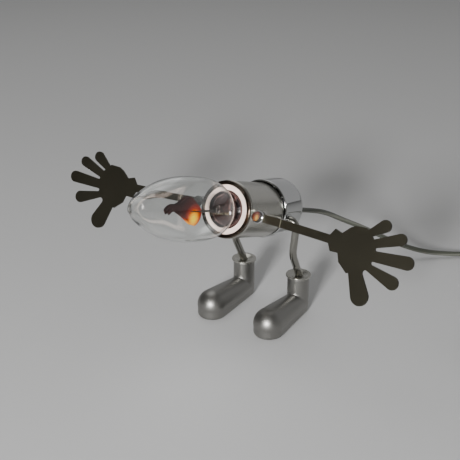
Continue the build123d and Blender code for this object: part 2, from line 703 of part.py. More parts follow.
def collar():
    """Flanged plug in the ankle, dished around the leg."""
    top = ANKLE_TOP + COLLAR_T
    low = ANKLE_TOP - COLLAR_SPIGOT
    plug = turned(
        (0, top - COLLAR_DISH), (COLLAR_DISH_R, top - COLLAR_DISH), (COLLAR_MOUTH_R, top), (COLLAR_R, top),
        (COLLAR_R, ANKLE_TOP), (COLLAR_SPIGOT_R, ANKLE_TOP), (COLLAR_SPIGOT_R, low), (0, low),
    )
    return Pos(ANKLE_X, ANKLE_Y) * plug - leg_bore()


# ---- bulb


def glass_line(inset, tip):
    """Neck and body of the glass, inset from its skin, up to a height on the axis."""
    flare = (GLASS_FLARE, 0, 1)
    neck = [(GLASS_NECK_R - inset, 0, 0), (GLASS_NECK[0] - inset, 0, GLASS_NECK[1])]
    body = [(r - inset, 0, z) for r, z in GLASS_OUTLINE]
    return [
        Spline(*neck, body[0], tangents=[(0, 0, 1), flare], tangent_scalars=(1, 1)),
        Spline(*body, (0, 0, tip), tangents=[flare, (-1, 0, 0)], tangent_scalars=(1, 1)),
    ]


def bulb_glass():
    """Blown flame-shaped bulb, open at the neck."""
    neck_in = GLASS_NECK_R - GLASS_WALL
    foot_in = NECK_FOOT_R - GLASS_WALL
    tip_in = GLASS_TIP - 2 * GLASS_WALL
    foot_top = CAP_TOP + 2 * SEAT
    outline = [
        *glass_line(0, GLASS_TIP),
        Line((0, 0, GLASS_TIP), (0, 0, tip_in)),
        *glass_line(GLASS_WALL, tip_in),
        Polyline(
            (neck_in, 0, 0), (foot_in, 0, foot_top), (foot_in, 0, NECK_FOOT), (NECK_FOOT_R, 0, NECK_FOOT),
            (NECK_FOOT_R, 0, foot_top), (GLASS_NECK_R, 0, 0),
        ),
    ]
    edges = [edge for line in outline for edge in line.edges()]
    return revolve(make_face(edges), Axis.Z)


def bulb_cap():
    """Screw cap with rolled rings at the thread's pitch."""
    middle_r = (CAP_CREST_R + CAP_ROOT_R) / 2
    start = CAP_TOP - 1.2
    half = THREAD_PITCH / 2
    rings = [
        ThreePointArc(
            (middle_r, 0, start - i * half),
            (CAP_ROOT_R if i % 2 else CAP_CREST_R, 0, start - (i + 0.5) * half),
            (middle_r, 0, start - (i + 1) * half),
        )
        for i in range(2 * THREADS)
    ]
    end = start - 2 * THREADS * half
    rest = Polyline(
        (middle_r, 0, end), (CAP_ROOT_R, 0, end - 0.9), (INSULATOR_R + 0.9, 0, CAP_END),
        (INSULATOR_R + SLIP, 0, CAP_END), (INSULATOR_R + SLIP, 0, CAP_END + 0.5),
        (CAP_IN_R, 0, end - 0.6), (CAP_IN_R, 0, CAP_TOP), (CAP_ROOT_R, 0, CAP_TOP), (middle_r, 0, start),
    )
    return revolve(make_face([*rings, *rest.edges()]), Axis.Z)


def bulb_insulator():
    """Black glass button in the end of the cap."""
    return turned(
        (0, CAP_END + 1.5), (INSULATOR_R + 0.7, CAP_END + 1.5), (INSULATOR_R + 0.7, CAP_END + 1.05),
        (INSULATOR_R, CAP_END + 1.05), (INSULATOR_R, CAP_END - 0.4),
        (INSULATOR_END_R, INSULATOR_END), (0, INSULATOR_END),
    )


def bulb_contact():
    """Solder contact at the bulb's foot."""
    return turned(
        (0, INSULATOR_END), (CONTACT_R, INSULATOR_END), (CONTACT_R, INSULATOR_END - 0.4),
        (CONTACT_R - 1.5, CONTACT_END), (0, CONTACT_END),
    )


def bulb_stem():
    """Flared glass stem with the pinch that the supports stand in."""
    foot = NECK_FOOT_R - GLASS_WALL - SEAT
    wall = 1.2
    low = NECK_FOOT + SEAT
    return turned(
        (foot, low), (foot, low + 0.8), (6.0, -2.0), (STEM_R, 3.0), (STEM_R, STEM_HOLLOW),
        (STEM_END_R, STEM_END), (0, STEM_END), (0, STEM_HOLLOW + 1.5), (STEM_R - wall, STEM_HOLLOW),
        (STEM_R - wall, 2.0), (6.0 - wall, -2.8), (foot - 1, low),
    )


def support_wires():
    """Two wires from the stem up the outer faces of the flame plates."""
    x = PLATE_X + PLATE_T / 2 + SUPPORT_R
    wires = [bar(SUPPORT_R, STEM_END, SUPPORT_END, side * x, SUPPORT_DROP) for side in (-1, 1)]
    return Compound(children=wires)


def flame_plates():
    """Two flame-shaped electrodes side by side; the gas glows on them."""
    plates = []
    for side in (-1, 1):
        x = side * PLATE_X
        outline = Polyline(*[(x, up, along) for along, up in FLAME_OUTLINE], close=True)
        plates.append(extrude(make_face(outline), amount=PLATE_T / 2, dir=(1, 0, 0), both=True))
    return Compound(children=plates)


# ---- cord and what is on it


def arc_radii(points):
    """The bend at each inner point: 0.45 of the shorter run over the tangent of half the turn."""
    radii = []
    for before, here, after in zip(points, points[1:], points[2:]):
        arrive = Vector(here) - Vector(before)
        leave = Vector(after) - Vector(here)
        half_turn = radians(arrive.get_angle(leave)) / 2
        radii.append(0.45 * min(arrive.length, leave.length) / tan(half_turn))
    return radii


def cord_tube(name, points):
    """A cord's free stretch; prints its bends and how its volume compares."""
    radii = arc_radii(points)
    path = FilletPolyline(*points, radius=radii)
    tube = sweep(Plane(path @ 0, z_dir=path % 0) * Circle(CORD_R), path=path)
    exact = path.length * pi * CORD_R**2
    print(name, "length", round(path.length, 1), "bends", [round(r, 1) for r in radii])
    print(name, "volume over section times length", round(tube.volume / exact, 5))
    return tube


def lamp_cord():
    """From the strain relief across the floor to the switch."""
    start = (BODY * Pos(0, 0, RELIEF_END)).position
    second = (BODY * Pos(0, 0, RELIEF_END - LAMP_FIRST_RUN)).position
    return cord_tube("lamp_cord", [tuple(start), tuple(second), *LAMP_ROUTE])


def cord_coil():
    """Outer shape of the tied turns."""
    ring = Pos(0, COIL_HIGH / 2) * RectangleRounded(COIL_WIDE, COIL_HIGH, CORD_R - SEAT)
    section = Plane.XZ * Pos(COIL_R, 0) * ring
    return Pos(*COIL_AT) * revolve(section, Axis.Z)


SWITCH = Pos(*SWITCH_AT, 0) * Rot(0, 0, SWITCH_HEADING) * Pos(SWITCH_LONG / 2, 0, 0)


def link_cord():
    """From the switch to the coil's outer face."""
    start = (SWITCH * Pos(SWITCH_LONG / 2, 0, SWITCH_CORD_Z)).position
    return cord_tube("link_cord", [tuple(start), *LINK_ROUTE]) - cord_coil()


def plug_cord():
    """From the coil's outer face to the plug."""
    return cord_tube("plug_cord", PLUG_ROUTE) - cord_coil()


def switch_shell(low, high, floor):
    """One half of the switch's case, open where it meets the other half."""
    outer = RectangleRounded(SWITCH_LONG, SWITCH_WIDE, SWITCH_CORNER)
    inner = RectangleRounded(
        SWITCH_LONG - 2 * SWITCH_WALL, SWITCH_WIDE - 2 * SWITCH_WALL, SWITCH_CORNER - SWITCH_WALL
    )
    shell = Pos(0, 0, low) * extrude(outer, amount=high - low)
    return shell - Pos(0, 0, floor) * extrude(inner, amount=high - low - SWITCH_WALL)


def switch_base():
    """Lower half of the in-line switch with its screw bosses."""
    base = switch_shell(0, SWITCH_HIGH / 2, SWITCH_WALL)
    for side in (-1, 1):
        x = side * SWITCH_SCREW_X
        base += bar(2.6 * SWITCH_SCREW_R, SWITCH_WALL, SWITCH_HIGH / 2, x)
        base -= bar(SWITCH_SCREW_R + SEAT, 0, SWITCH_HIGH / 2, x)
        base -= bar(2 * SWITCH_SCREW_R + SEAT, 0, 1.8, x)
    return base


def switch_cover():
    """Upper half with the rocker's window and the cheeks for its pins."""
    top = SWITCH_HIGH - SWITCH_WALL
    cover = switch_shell(SWITCH_HIGH / 2, SWITCH_HIGH, SWITCH_HIGH / 2)
    for side in (-1, 1):
        x = side * SWITCH_SCREW_X
        cover += bar(2.2 * SWITCH_SCREW_R, SWITCH_HIGH / 2, top, x)
        cover -= bar(SWITCH_SCREW_R, SWITCH_HIGH / 2, top - 1.6, x)
        cheek_y = side * (ROCKER_WIDE / 2 + 1.4)
        cover += block((CHEEK_LONG, 1.4, 4.0), top - 4.0, 0, cheek_y)
    cover -= block((ROCKER_LONG + 1.8, ROCKER_WIDE + 1.0, SWITCH_HIGH), top - 0.1)
    return cover - rocker_pin(ROCKER_PIN_R + SLIP, ROCKER_PIN_LONG + 2 * SEAT)


def rocker_pin(radius, long):
    """A round bar across the switch at the rocker's axis."""
    return Pos(0, 0, ROCKER_Z) * Rot(90, 0, 0) * Cylinder(radius, long)


def switch_rocker():
    """Rocker key on two pins, at rest with its far end down."""
    half = ROCKER_LONG / 2
    side = Polyline(
        (-half, 0, 4.6), (0, 0, 3.4), (half, 0, 4.6), (half, 0, -0.6), (3, 0, -2.6), (-3, 0, -2.6),
        (-half, 0, -0.6), close=True,
    )
    tilted = Pos(0, 0, ROCKER_Z) * Rot(0, ROCKER_TILT, 0)
    key = tilted * extrude(make_face(side), amount=ROCKER_WIDE / 2, both=True)
    return key + rocker_pin(ROCKER_PIN_R, ROCKER_PIN_LONG)


def switch_contacts():
    """Two brass strips with upright tabs under the rocker's ends."""
    contacts = []
    for side in (-1, 1):
        strip = block((SWITCH_CONTACT_LONG, 4, 0.8), SWITCH_WALL, side * SWITCH_CONTACT_X)
        tab = block((0.8, 4, 4.0), SWITCH_WALL, side * 5.4)
        contacts.append(strip + tab)
    return Compound(children=contacts)


def switch_screws():
    """Two screws from below that hold the halves together."""
    screws = []
    for side in (-1, 1):
        x = side * SWITCH_SCREW_X
        screws.append(bar(SWITCH_SCREW_R, 1.8, SWITCH_SCREW_TOP, x) + bar(2 * SWITCH_SCREW_R, 0.4, 1.8, x))
    return Compound(children=screws)


PLUG = Pos(*PLUG_AT) * Rot(0, 0, PLUG_HEADING)


def plug_body():
    """Flat two-pin plug, narrow at the cord's end."""
    half = PLUG_WIDE / 2
    plan = Polyline(
        (PLUG_TAIL - 2, 4.2), (PLUG_TAIL + 7, half - 1), (PLUG_LONG, half), (PLUG_LONG, -half),
        (PLUG_TAIL + 7, 1 - half), (PLUG_TAIL - 2, -4.2), close=True,
    )
    slab = Pos(0, 0, -PLUG_HIGH / 2) * extrude(make_face(plan), amount=PLUG_HIGH)
    slab = fillet(slab.edges().filter_by(Axis.Z), 2.5)
    slab = fillet(slab.faces().sort_by(Axis.Z)[-1].edges(), 1.8)
    slab = fillet(slab.faces().sort_by(Axis.Z)[0].edges(), 1.8)
    tail = Rot(0, 90, 0) * turned((0, 0), (CORD_R + 0.9, 0), (4.2, PLUG_TAIL), (0, PLUG_TAIL))
    body = slab + tail
    for side in (-1, 1):
        body -= cross_bar(PIN_R, PLUG_LONG - PIN_IN, PLUG_LONG, side * PIN_APART / 2)
    return body


def plug_pins():
    """Two round pins, rounded at their ends."""
    pins = []
    for side in (-1, 1):
        pin = cross_bar(PIN_R, PLUG_LONG - PIN_IN, PLUG_LONG + PIN_LONG, side * PIN_APART / 2)
        pins.append(chamfer(pin.edges().sort_by(Axis.X)[-1], 0.8))
    return Compound(children=pins)


# ---- the model, node by node
LEFT_OF_BODY = {
    "arm_lug": arm_lug(),
    "arm_screw": arm_screw(),
    "arm_washer": arm_washer(),
}
LEFT_LEG = {
    "leg_bush": leg_bush(),
    "leg_rod": leg_rod(),
    "hip_nut": hip_nut(),
    "shoe": shoe(),
    "collar": collar(),
    "sole_pad": pad(0, 0),
}
NODES = {
    "bezel_ring": BODY * bezel_ring(),
    "holder_sleeve": BODY * holder_sleeve(),
    "ceramic_insert": BODY * ceramic_insert(),
    "screw_shell": BODY * screw_shell(),
    "centre_contact": BODY * centre_contact(),
    "line_terminal": BODY * line_terminal(),
    "neutral_terminal": BODY * terminal(1),
    "terminal_screws": BODY * terminal_screws(),
    "core_bracket": BODY * core_bracket(),
    "core_screws": BODY * core_screws(),
    "line_wire": BODY * core_wire(-1),
    "neutral_wire": BODY * core_wire(1),
    "holder_cap": BODY * holder_cap(),
    "entry_nipple": BODY * entry_nipple(),
    "nipple_spacer": nipple_spacer(),
    "rear_cup": rear_cup(),
    "seat_washer": seat_washer(),
    "gland_nut": BODY * gland_nut(),
    "strain_relief": BODY * strain_relief(),
    "left_arm": BODY * arm(LEFT_DROOP),
    "right_arm": BODY * mirror(arm(RIGHT_DROOP), about=Plane.YZ),
    "bulb_glass": BODY * bulb_glass(),
    "bulb_cap": BODY * bulb_cap(),
    "bulb_insulator": BODY * bulb_insulator(),
    "bulb_contact": BODY * bulb_contact(),
    "bulb_stem": BODY * bulb_stem(),
    "support_wires": BODY * support_wires(),
    "flame_plates": BODY * flame_plates(),
    "lamp_cord": lamp_cord(),
    "link_cord": link_cord(),
    "plug_cord": plug_cord(),
    "cord_coil": cord_coil(),
    "switch_base": SWITCH * switch_base(),
    "switch_cover": SWITCH * switch_cover(),
    "switch_rocker": SWITCH * switch_rocker(),
    "switch_contacts": SWITCH * switch_contacts(),
    "switch_screws": SWITCH * switch_screws(),
    "plug_body": PLUG * plug_body(),
    "plug_pins": PLUG * plug_pins(),
}
for name, solid in LEFT_OF_BODY.items():
    NODES["left_" + name] = BODY * solid
    NODES["right_" + name] = BODY * mirror(solid, about=Plane.YZ)
for name, solid in LEFT_LEG.items():
    NODES["left_" + name] = solid
    NODES["right_" + name] = mirror(solid, about=Plane.YZ)

os.makedirs("parts", exist_ok=True)
for name, solid in NODES.items():
    export_step(solid, f"parts/{name}.step")
print("nodes", len(NODES), "hip", tuple(round(v, 3) for v in HIP))
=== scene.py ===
import math

import bmesh
import bpy
import numpy as np
from mathutils import Matrix, Vector


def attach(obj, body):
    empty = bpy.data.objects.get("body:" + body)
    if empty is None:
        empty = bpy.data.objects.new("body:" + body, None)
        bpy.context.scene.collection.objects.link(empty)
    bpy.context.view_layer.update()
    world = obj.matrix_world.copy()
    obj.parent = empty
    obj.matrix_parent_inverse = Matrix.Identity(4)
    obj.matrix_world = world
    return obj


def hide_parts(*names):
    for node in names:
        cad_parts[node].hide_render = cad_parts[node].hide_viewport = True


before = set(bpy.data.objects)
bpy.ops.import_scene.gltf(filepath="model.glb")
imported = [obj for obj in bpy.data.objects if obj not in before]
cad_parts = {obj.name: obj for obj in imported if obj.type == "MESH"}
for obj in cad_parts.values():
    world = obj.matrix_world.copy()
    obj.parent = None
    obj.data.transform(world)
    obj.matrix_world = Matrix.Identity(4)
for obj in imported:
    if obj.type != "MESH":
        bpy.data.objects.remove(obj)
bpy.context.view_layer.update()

# ---- camera
# A long lens a little above and to the left hand side of the robot, so that the bulb comes
# towards the viewer and both hands are in the frame.
LENS = 68.18
SENSOR = 36
AIM = Vector((-0.020267, 0.041008, 0.065999))
AWAY = 0.649277
TURN = math.radians(34.938)
RISE = math.radians(24.051)
ROLL = math.radians(-0.133)
camera = bpy.data.objects.new("camera", bpy.data.cameras.new("camera"))
bpy.context.scene.collection.objects.link(camera)
camera.data.lens = LENS
camera.data.sensor_width = SENSOR
back = Vector((math.sin(TURN) * math.cos(RISE), -math.cos(TURN) * math.cos(RISE), math.sin(RISE)))
level = Vector((math.cos(TURN), math.sin(TURN), 0))
upright = back.cross(level)
right = math.cos(ROLL) * level + math.sin(ROLL) * upright
upward = math.cos(ROLL) * upright - math.sin(ROLL) * level
facing = Matrix((right, upward, back)).transposed()
camera.matrix_world = Matrix.LocRotScale(AIM + AWAY * back, facing, None)
bpy.context.scene.camera = camera

# ---- studio
# A pale matt floor, one small hard lamp at the front, a soft one above and a room that is
# bright behind the object and dim in front of it, so that metal has something to mirror.
FLOOR_HALF = 8.0
FLOOR_GREY = 0.60
LAMP_AIM = Vector((0, 0.04, 0.07))
ROOM_LEAN = (0.08, 0.42, -0.22)
ROOM_LIGHT = 0.55
ROOM_TONES = [
    (0.0, (0.10, 0.10, 0.095)), (0.40, (0.20, 0.20, 0.19)),
    (0.62, (0.62, 0.625, 0.63)), (1.0, (0.82, 0.82, 0.83)),
]
floor_mesh = bpy.data.meshes.new("floor")
corners = [(x * FLOOR_HALF, y * FLOOR_HALF, 0) for x, y in ((-1, -1), (1, -1), (1, 1), (-1, 1))]
floor_mesh.from_pydata(corners, [], [(0, 1, 2, 3)])
floor = bpy.data.objects.new("floor", floor_mesh)
bpy.context.scene.collection.objects.link(floor)
floor_paint = bpy.data.materials.new("pale floor")
floor_paint.use_nodes = True
paint = floor_paint.node_tree.nodes["Principled BSDF"]
paint.inputs["Base Color"].default_value = (FLOOR_GREY, FLOOR_GREY, FLOOR_GREY, 1)
paint.inputs["Roughness"].default_value = 0.9
paint.inputs["Specular IOR Level"].default_value = 0.2
floor_mesh.materials.append(floor_paint)


def studio_lamp(name, size, watts, direction, distance):
    """A square lamp that shines at the lampholder from a direction."""
    lamp = bpy.data.objects.new(name, bpy.data.lights.new(name, "AREA"))
    bpy.context.scene.collection.objects.link(lamp)
    lamp.data.size = size
    lamp.data.energy = watts
    way = Vector(direction).normalized()
    lamp.location = LAMP_AIM + distance * way
    lamp.rotation_mode = "QUATERNION"
    lamp.rotation_quaternion = way.to_track_quat("Z", "Y")
    return lamp


def figure(tree, operation, *values):
    """The result of a sum on sockets and plain numbers."""
    node = tree.nodes.new("ShaderNodeMath")
    node.operation = operation
    for socket, value in zip(node.inputs, values):
        if isinstance(value, bpy.types.NodeSocket):
            tree.links.new(value, socket)
        else:
            socket.default_value = value
    return node.outputs[0]


def graded(tree, value, tones):
    """A colour that runs through (place, colour) tones as a value grows."""
    ramp = tree.nodes.new("ShaderNodeValToRGB")
    tree.links.new(value, ramp.inputs[0])
    stops = ramp.color_ramp.elements
    while len(stops) < len(tones):
        stops.new(1.0)
    for stop, (place, colour) in zip(stops, tones):
        stop.position, stop.color = place, (*colour, 1)
    return ramp.outputs[0]


front_lamp = studio_lamp("front lamp", 0.22, 32.0, (0.28, -0.94, 0.30), 1.5)
top_lamp = studio_lamp("top lamp", 1.6, 9.0, (-0.35, 0.25, 1.0), 2.0)
world = bpy.data.worlds.new("room")
bpy.context.scene.world = world
world.use_nodes = True
sky = world.node_tree
look = sky.nodes.new("ShaderNodeTexCoord")
lean = sky.nodes.new("ShaderNodeVectorMath")
lean.operation = "DOT_PRODUCT"
sky.links.new(look.outputs["Generated"], lean.inputs[0])
lean.inputs[1].default_value = ROOM_LEAN
backdrop = sky.nodes["Background"]
tone = graded(sky, figure(sky, "ADD", lean.outputs["Value"], 0.5), ROOM_TONES)
sky.links.new(tone, backdrop.inputs["Color"])
backdrop.inputs["Strength"].default_value = ROOM_LIGHT

# ---- cord
# Two-core mains lead in a clear grey sleeve. It leaves the lampholder's end, drops to the
# floor and runs round to the switch; what is left over is wound into a round coil.
MM = 0.001
BODY_LEAN = math.radians(19.2)
BODY_AT = (0, 6.0, 99.5)
lean_sin, lean_cos = math.sin(BODY_LEAN), math.cos(BODY_LEAN)
BODY = Matrix.LocRotScale(
    Vector(BODY_AT) * MM, Matrix(((1, 0, 0), (0, lean_sin, -lean_cos), (0, lean_cos, lean_sin))), None
)
CORD_R = 2.1
CORD_START = -105.0
CORD_STRAIGHT = 13.1
CORD_Z = 2.15
LAMP_ROUTE = [
    (5.2, 140.6, 52.3), (12.4, 157.1, 41.6), (27.4, 176.1, 29.4), (47.7, 193.0, 15.0),
    (65.9, 207.3, 6.3), (85.8, 223.5, 3.0), (105.1, 239.0, CORD_Z), (122.7, 252.3, CORD_Z),
    (142.3, 256.5, CORD_Z), (160.1, 250.0, 2.4), (170.6, 236.6, 3.6), (174.8, 223.2, 7.0),
    (178.4, 211.8, 7.0),
]
SWITCH_END = (195.84, 156.49, 7.0)
LINK_ROUTE = [(200.3, 142.2, 7.0), (204.8, 127.9, 3.9)]
PLUG_ROUTE = [(213.7, 90.1, 14.0), (215.6, 72.2, 10.0), (216.1, 58.2, 6.85), (216.5, 46.2, 6.85)]
COIL_AT = (180.9, 104.6)
COIL_OUT_R = 29.77
COIL_IN_R = 20.2
COIL_LAYERS = 4
LAYER_STEP = 4.25
COIL_START = 17.5
COIL_SWEEP = 3247.5
CLIMB = 40.0
POINTS_A_TURN = 16
CORE_WIND = 1.2
CORE_TINT = (0.19, 0.195, 0.165, 1)


def coil_points():
    """Nine turns in four layers, wound inwards and outwards by turns, a cord's width apart."""
    count = round(COIL_SWEEP / 360 * POINTS_A_TURN)
    points = []
    for i in range(count + 1):
        gone = COIL_SWEEP * i / count
        layer = min(COIL_LAYERS - 1, int(COIL_LAYERS * i / count))
        share = COIL_LAYERS * i / count - layer
        radius = COIL_OUT_R + (COIL_IN_R - COIL_OUT_R) * (share if layer % 2 == 0 else 1 - share)
        height = CORD_Z + LAYER_STEP * layer
        into = gone - layer * COIL_SWEEP / COIL_LAYERS
        if layer and into < CLIMB:
            ease = into / CLIMB
            height -= LAYER_STEP * (1 - ease * ease * (3 - 2 * ease))
        angle = math.radians(COIL_START - gone)
        points.append((COIL_AT[0] + radius * math.cos(angle), COIL_AT[1] + radius * math.sin(angle), height))
    return points


def lead(name, points):
    """A round cord along a smooth line whose control points are given."""
    curve = bpy.data.curves.new(name, "CURVE")
    curve.dimensions = "3D"
    spline = curve.splines.new("NURBS")
    spline.points.add(len(points) - 1)
    for spot, point in zip(spline.points, points):
        spot.co = (point[0] * MM, point[1] * MM, point[2] * MM, 1)
    spline.order_u = 3
    spline.use_endpoint_u = True
    spline.resolution_u = 8
    curve.bevel_depth = CORD_R * MM
    curve.bevel_resolution = 6
    curve.use_fill_caps = True
    cord = bpy.data.objects.new(name, curve)
    bpy.context.scene.collection.objects.link(cord)
    return cord


def ranged(tree, value, low=0.0, high=1.0, to_low=0.0, to_high=1.0):
    """A value's range laid over another one."""
    node = tree.nodes.new("ShaderNodeMapRange")
    tree.links.new(value, node.inputs["Value"])
    for socket, limit in zip(("From Min", "From Max", "To Min", "To Max"), (low, high, to_low, to_high)):
        node.inputs[socket].default_value = limit
    return node.outputs[0]


def grain(tree, scale, detail=4.0, stretch=(1, 1, 1)):
    """Fine noise fixed to the piece."""
    nodes, links = tree.nodes, tree.links
    place = nodes.new("ShaderNodeTexCoord")
    turn = nodes.new("ShaderNodeMapping")
    turn.inputs["Scale"].default_value = stretch
    noise = nodes.new("ShaderNodeTexNoise")
    noise.inputs["Scale"].default_value = scale
    noise.inputs["Detail"].default_value = detail
    links.new(place.outputs["Object"], turn.inputs[0])
    links.new(turn.outputs[0], noise.inputs["Vector"])
    return noise.outputs["Fac"]


def finish(
    name, colour, roughness, metal=0.0, shade=0.12, patches=60, uneven=0.05,
    pits=0.0, pit_scale=900, stretch=(1, 1, 1), **sockets,
):
    """A surface whose colour and gloss vary a little, with a fine relief if pits are given."""
    made = bpy.data.materials.new(name)
    made.use_nodes = True
    tree = made.node_tree
    nodes, links = tree.nodes, tree.links
    surface = nodes["Principled BSDF"]
    cloud = grain(tree, patches, 3.0, stretch)
    tint = nodes.new("ShaderNodeMix")
    tint.data_type = "RGBA"
    links.new(cloud, tint.inputs["Factor"])
    tint.inputs[6].default_value = (*[c * (1 - shade) for c in colour], 1)
    tint.inputs[7].default_value = (*[min(1, c * (1 + shade)) for c in colour], 1)
    links.new(tint.outputs[2], surface.inputs["Base Color"])
    gloss = ranged(tree, cloud, to_low=max(0.0, roughness - uneven), to_high=roughness + uneven)
    links.new(gloss, surface.inputs["Roughness"])
    surface.inputs["Metallic"].default_value = metal
    if pits:
        relief = nodes.new("ShaderNodeBump")
        relief.inputs["Strength"].default_value = pits
        relief.inputs["Distance"].default_value = 0.0002
        links.new(grain(tree, pit_scale, 5.0, stretch), relief.inputs["Height"])
        links.new(relief.outputs[0], surface.inputs["Normal"])
    for socket, value in sockets.items():
        surface.inputs[socket.replace("_", " ")].default_value = value
    return made


def show_cores(material):
    """Two paler bands that wind along the cord, where its cores lie under the sleeve."""
    tree = material.node_tree
    nodes, links = tree.nodes, tree.links
    along = nodes.new("ShaderNodeTexCoord")
    ways = nodes.new("ShaderNodeSeparateXYZ")
    links.new(along.outputs["UV"], ways.inputs[0])
    wound = figure(tree, "MULTIPLY_ADD", ways.outputs["X"], CORE_WIND, ways.outputs["Y"])
    wave = figure(tree, "SINE", figure(tree, "MULTIPLY", wound, 4 * math.pi))
    cores = nodes.new("ShaderNodeMix")
    cores.data_type = "RGBA"
    links.new(ranged(tree, wave, 0.1, 0.8), cores.inputs["Factor"])
    base = nodes["Principled BSDF"].inputs["Base Color"]
    links.new(base.links[0].from_socket, cores.inputs[6])
    cores.inputs[7].default_value = CORE_TINT
    links.new(cores.outputs[2], base)


clear_pvc = finish(
    "clear grey pvc", (0.085, 0.09, 0.072), 0.22, shade=0.2, patches=90, uneven=0.06,
    Transmission_Weight=0.15, IOR=1.5,
)
show_cores(clear_pvc)
start = BODY @ Vector((0, 0, CORD_START * MM)) / MM
second = BODY @ Vector((0, 0, (CORD_START - CORD_STRAIGHT) * MM)) / MM
lamp_lead = lead("lamp_lead", [start, second, *LAMP_ROUTE])
plug_lead = lead("plug_lead", [SWITCH_END, *LINK_ROUTE, *coil_points(), *PLUG_ROUTE])
for cord in (lamp_lead, plug_lead):
    cord.data.materials.append(clear_pvc)
    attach(cord, "lampholder")
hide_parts("lamp_cord")
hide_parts("link_cord", "cord_coil", "plug_cord")

# ---- lampholder sleeve
# Drawn tube of satin nickel-plated steel with one rolled bead near its open end. It holds the
# ceramic socket, and the arms and the rear cup are fixed to it.
SLEEVE_R = 20.0
SLEEVE_BORE_R = 18.9
SLEEVE_END = -47.5
RING_DEEP = 2.6
BEAD_TOP = -3.1
BEAD_END = -4.3
BEAD_OUT = 0.4


def rounded(corners, radius, steps=4, straight=1.45):
    """The same closed outline with its corners turned into small arcs, save on the axis."""
    outline = []
    for before, here, after in zip(corners[-1:] + corners[:-1], corners, corners[1:] + corners[:1]):
        here = Vector(here)
        back_way, on_way = Vector(before) - here, Vector(after) - here
        half = back_way.angle(on_way) / 2
        if here.x == 0 or half > straight:
            outline.append(tuple(here))
            continue
        off = min(radius / math.tan(half), 0.45 * back_way.length, 0.45 * on_way.length)
        first, last = here + back_way.normalized() * off, here + on_way.normalized() * off
        for i in range(steps + 1):
            t = i / steps
            outline.append(tuple((1 - t) ** 2 * first + 2 * t * (1 - t) * here + t * t * last))
    return outline


def smooth_mesh(name, vertices, faces, place=BODY, sharp=35.0):
    """A closed mesh in millimetres put in place, smooth but for its real edges."""
    mesh = bpy.data.meshes.new(name)
    mesh.from_pydata([place @ (Vector(v) * MM) for v in vertices], [], faces)
    work = bmesh.new()
    work.from_mesh(mesh)
    bmesh.ops.remove_doubles(work, verts=work.verts, dist=1e-6)
    bmesh.ops.recalc_face_normals(work, faces=work.faces)
    work.to_mesh(mesh)
    work.free()
    mesh.shade_smooth()
    mesh.set_sharp_from_angle(angle=math.radians(sharp))
    piece = bpy.data.objects.new(name, mesh)
    bpy.context.scene.collection.objects.link(piece)
    return piece


def spun(outline, around, wave=None):
    """Vertices and faces of an outline turned about z; wave(angle, r, h) may change a radius."""
    vertices, faces = [], []
    many = len(outline)
    for i in range(around):
        angle = 2 * math.pi * i / around
        for r, h in outline:
            out = wave(angle, r, h) if wave else r
            vertices.append((out * math.cos(angle), out * math.sin(angle), h))
        here, there = i * many, (i + 1) % around * many
        for k in range(many):
            j = (k + 1) % many
            if outline[k][0] > 1e-6 or outline[j][0] > 1e-6:
                faces.append((here + k, here + j, there + j, there + k))
    return vertices, faces


def turned(name, outline, place=BODY, around=144, wave=None):
    """A lathe-turned piece with a closed outline of (radius, height)."""
    return smooth_mesh(name, *spun(outline, around, wave), place)


def dress(piece, node, material, body="lampholder"):
    """Puts a finished piece in its node's stead."""
    piece.data.materials.clear()
    piece.data.materials.append(material)
    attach(piece, body)
    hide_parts(node)
    return piece


satin_nickel = finish(
    "satin nickel", (0.47, 0.46, 0.42), 0.26, metal=1.0, shade=0.06, patches=35, pits=0.04, pit_scale=700,
)
sleeve_outline = [
    (SLEEVE_BORE_R, -RING_DEEP), (SLEEVE_R, -RING_DEEP), (SLEEVE_R, BEAD_TOP),
    (SLEEVE_R + BEAD_OUT, BEAD_TOP - BEAD_OUT), (SLEEVE_R + BEAD_OUT, BEAD_END + BEAD_OUT),
    (SLEEVE_R, BEAD_END), (SLEEVE_R, SLEEVE_END), (SLEEVE_BORE_R, SLEEVE_END),
]
sleeve = turned("holder_sleeve_tube", rounded(sleeve_outline, 0.3))
dress(sleeve, "holder_sleeve", satin_nickel)

# ---- bezel ring
# Turned steel ring with a dark plating on the sleeve's open end. Its spigot is pressed into
# the sleeve and keeps the ceramic in.
RING_BORE_R = 17.2
SPIGOT_R = SLEEVE_BORE_R - 0.05
SPIGOT_END = -5.6
SPIGOT_WALL = 0.8
dark_plate = finish("dark plated ring", (0.115, 0.09, 0.07), 0.16, metal=1.0, shade=0.1, patches=80)
ring_outline = [
    (RING_BORE_R, 0), (SLEEVE_R, 0), (SLEEVE_R, -RING_DEEP), (SPIGOT_R, -RING_DEEP),
    (SPIGOT_R, SPIGOT_END), (SPIGOT_R - SPIGOT_WALL, SPIGOT_END),
    (SPIGOT_R - SPIGOT_WALL, -RING_DEEP), (RING_BORE_R, -RING_DEEP),
]
ring = turned("bezel_ring_rolled", rounded(ring_outline, 0.6))
dress(ring, "bezel_ring", dark_plate)

# ---- ceramic, terminals and end cap
# Glazed ceramic socket with a sprung brass contact and two brass terminals. The cord's brown
# and blue cores come to them through a threaded nipple in the nickel-plated end cap.


def paint_nodes(material, *names):
    """A better finish for solids whose shape is right already."""
    for name in names:
        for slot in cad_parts[name].material_slots:
            slot.material = material


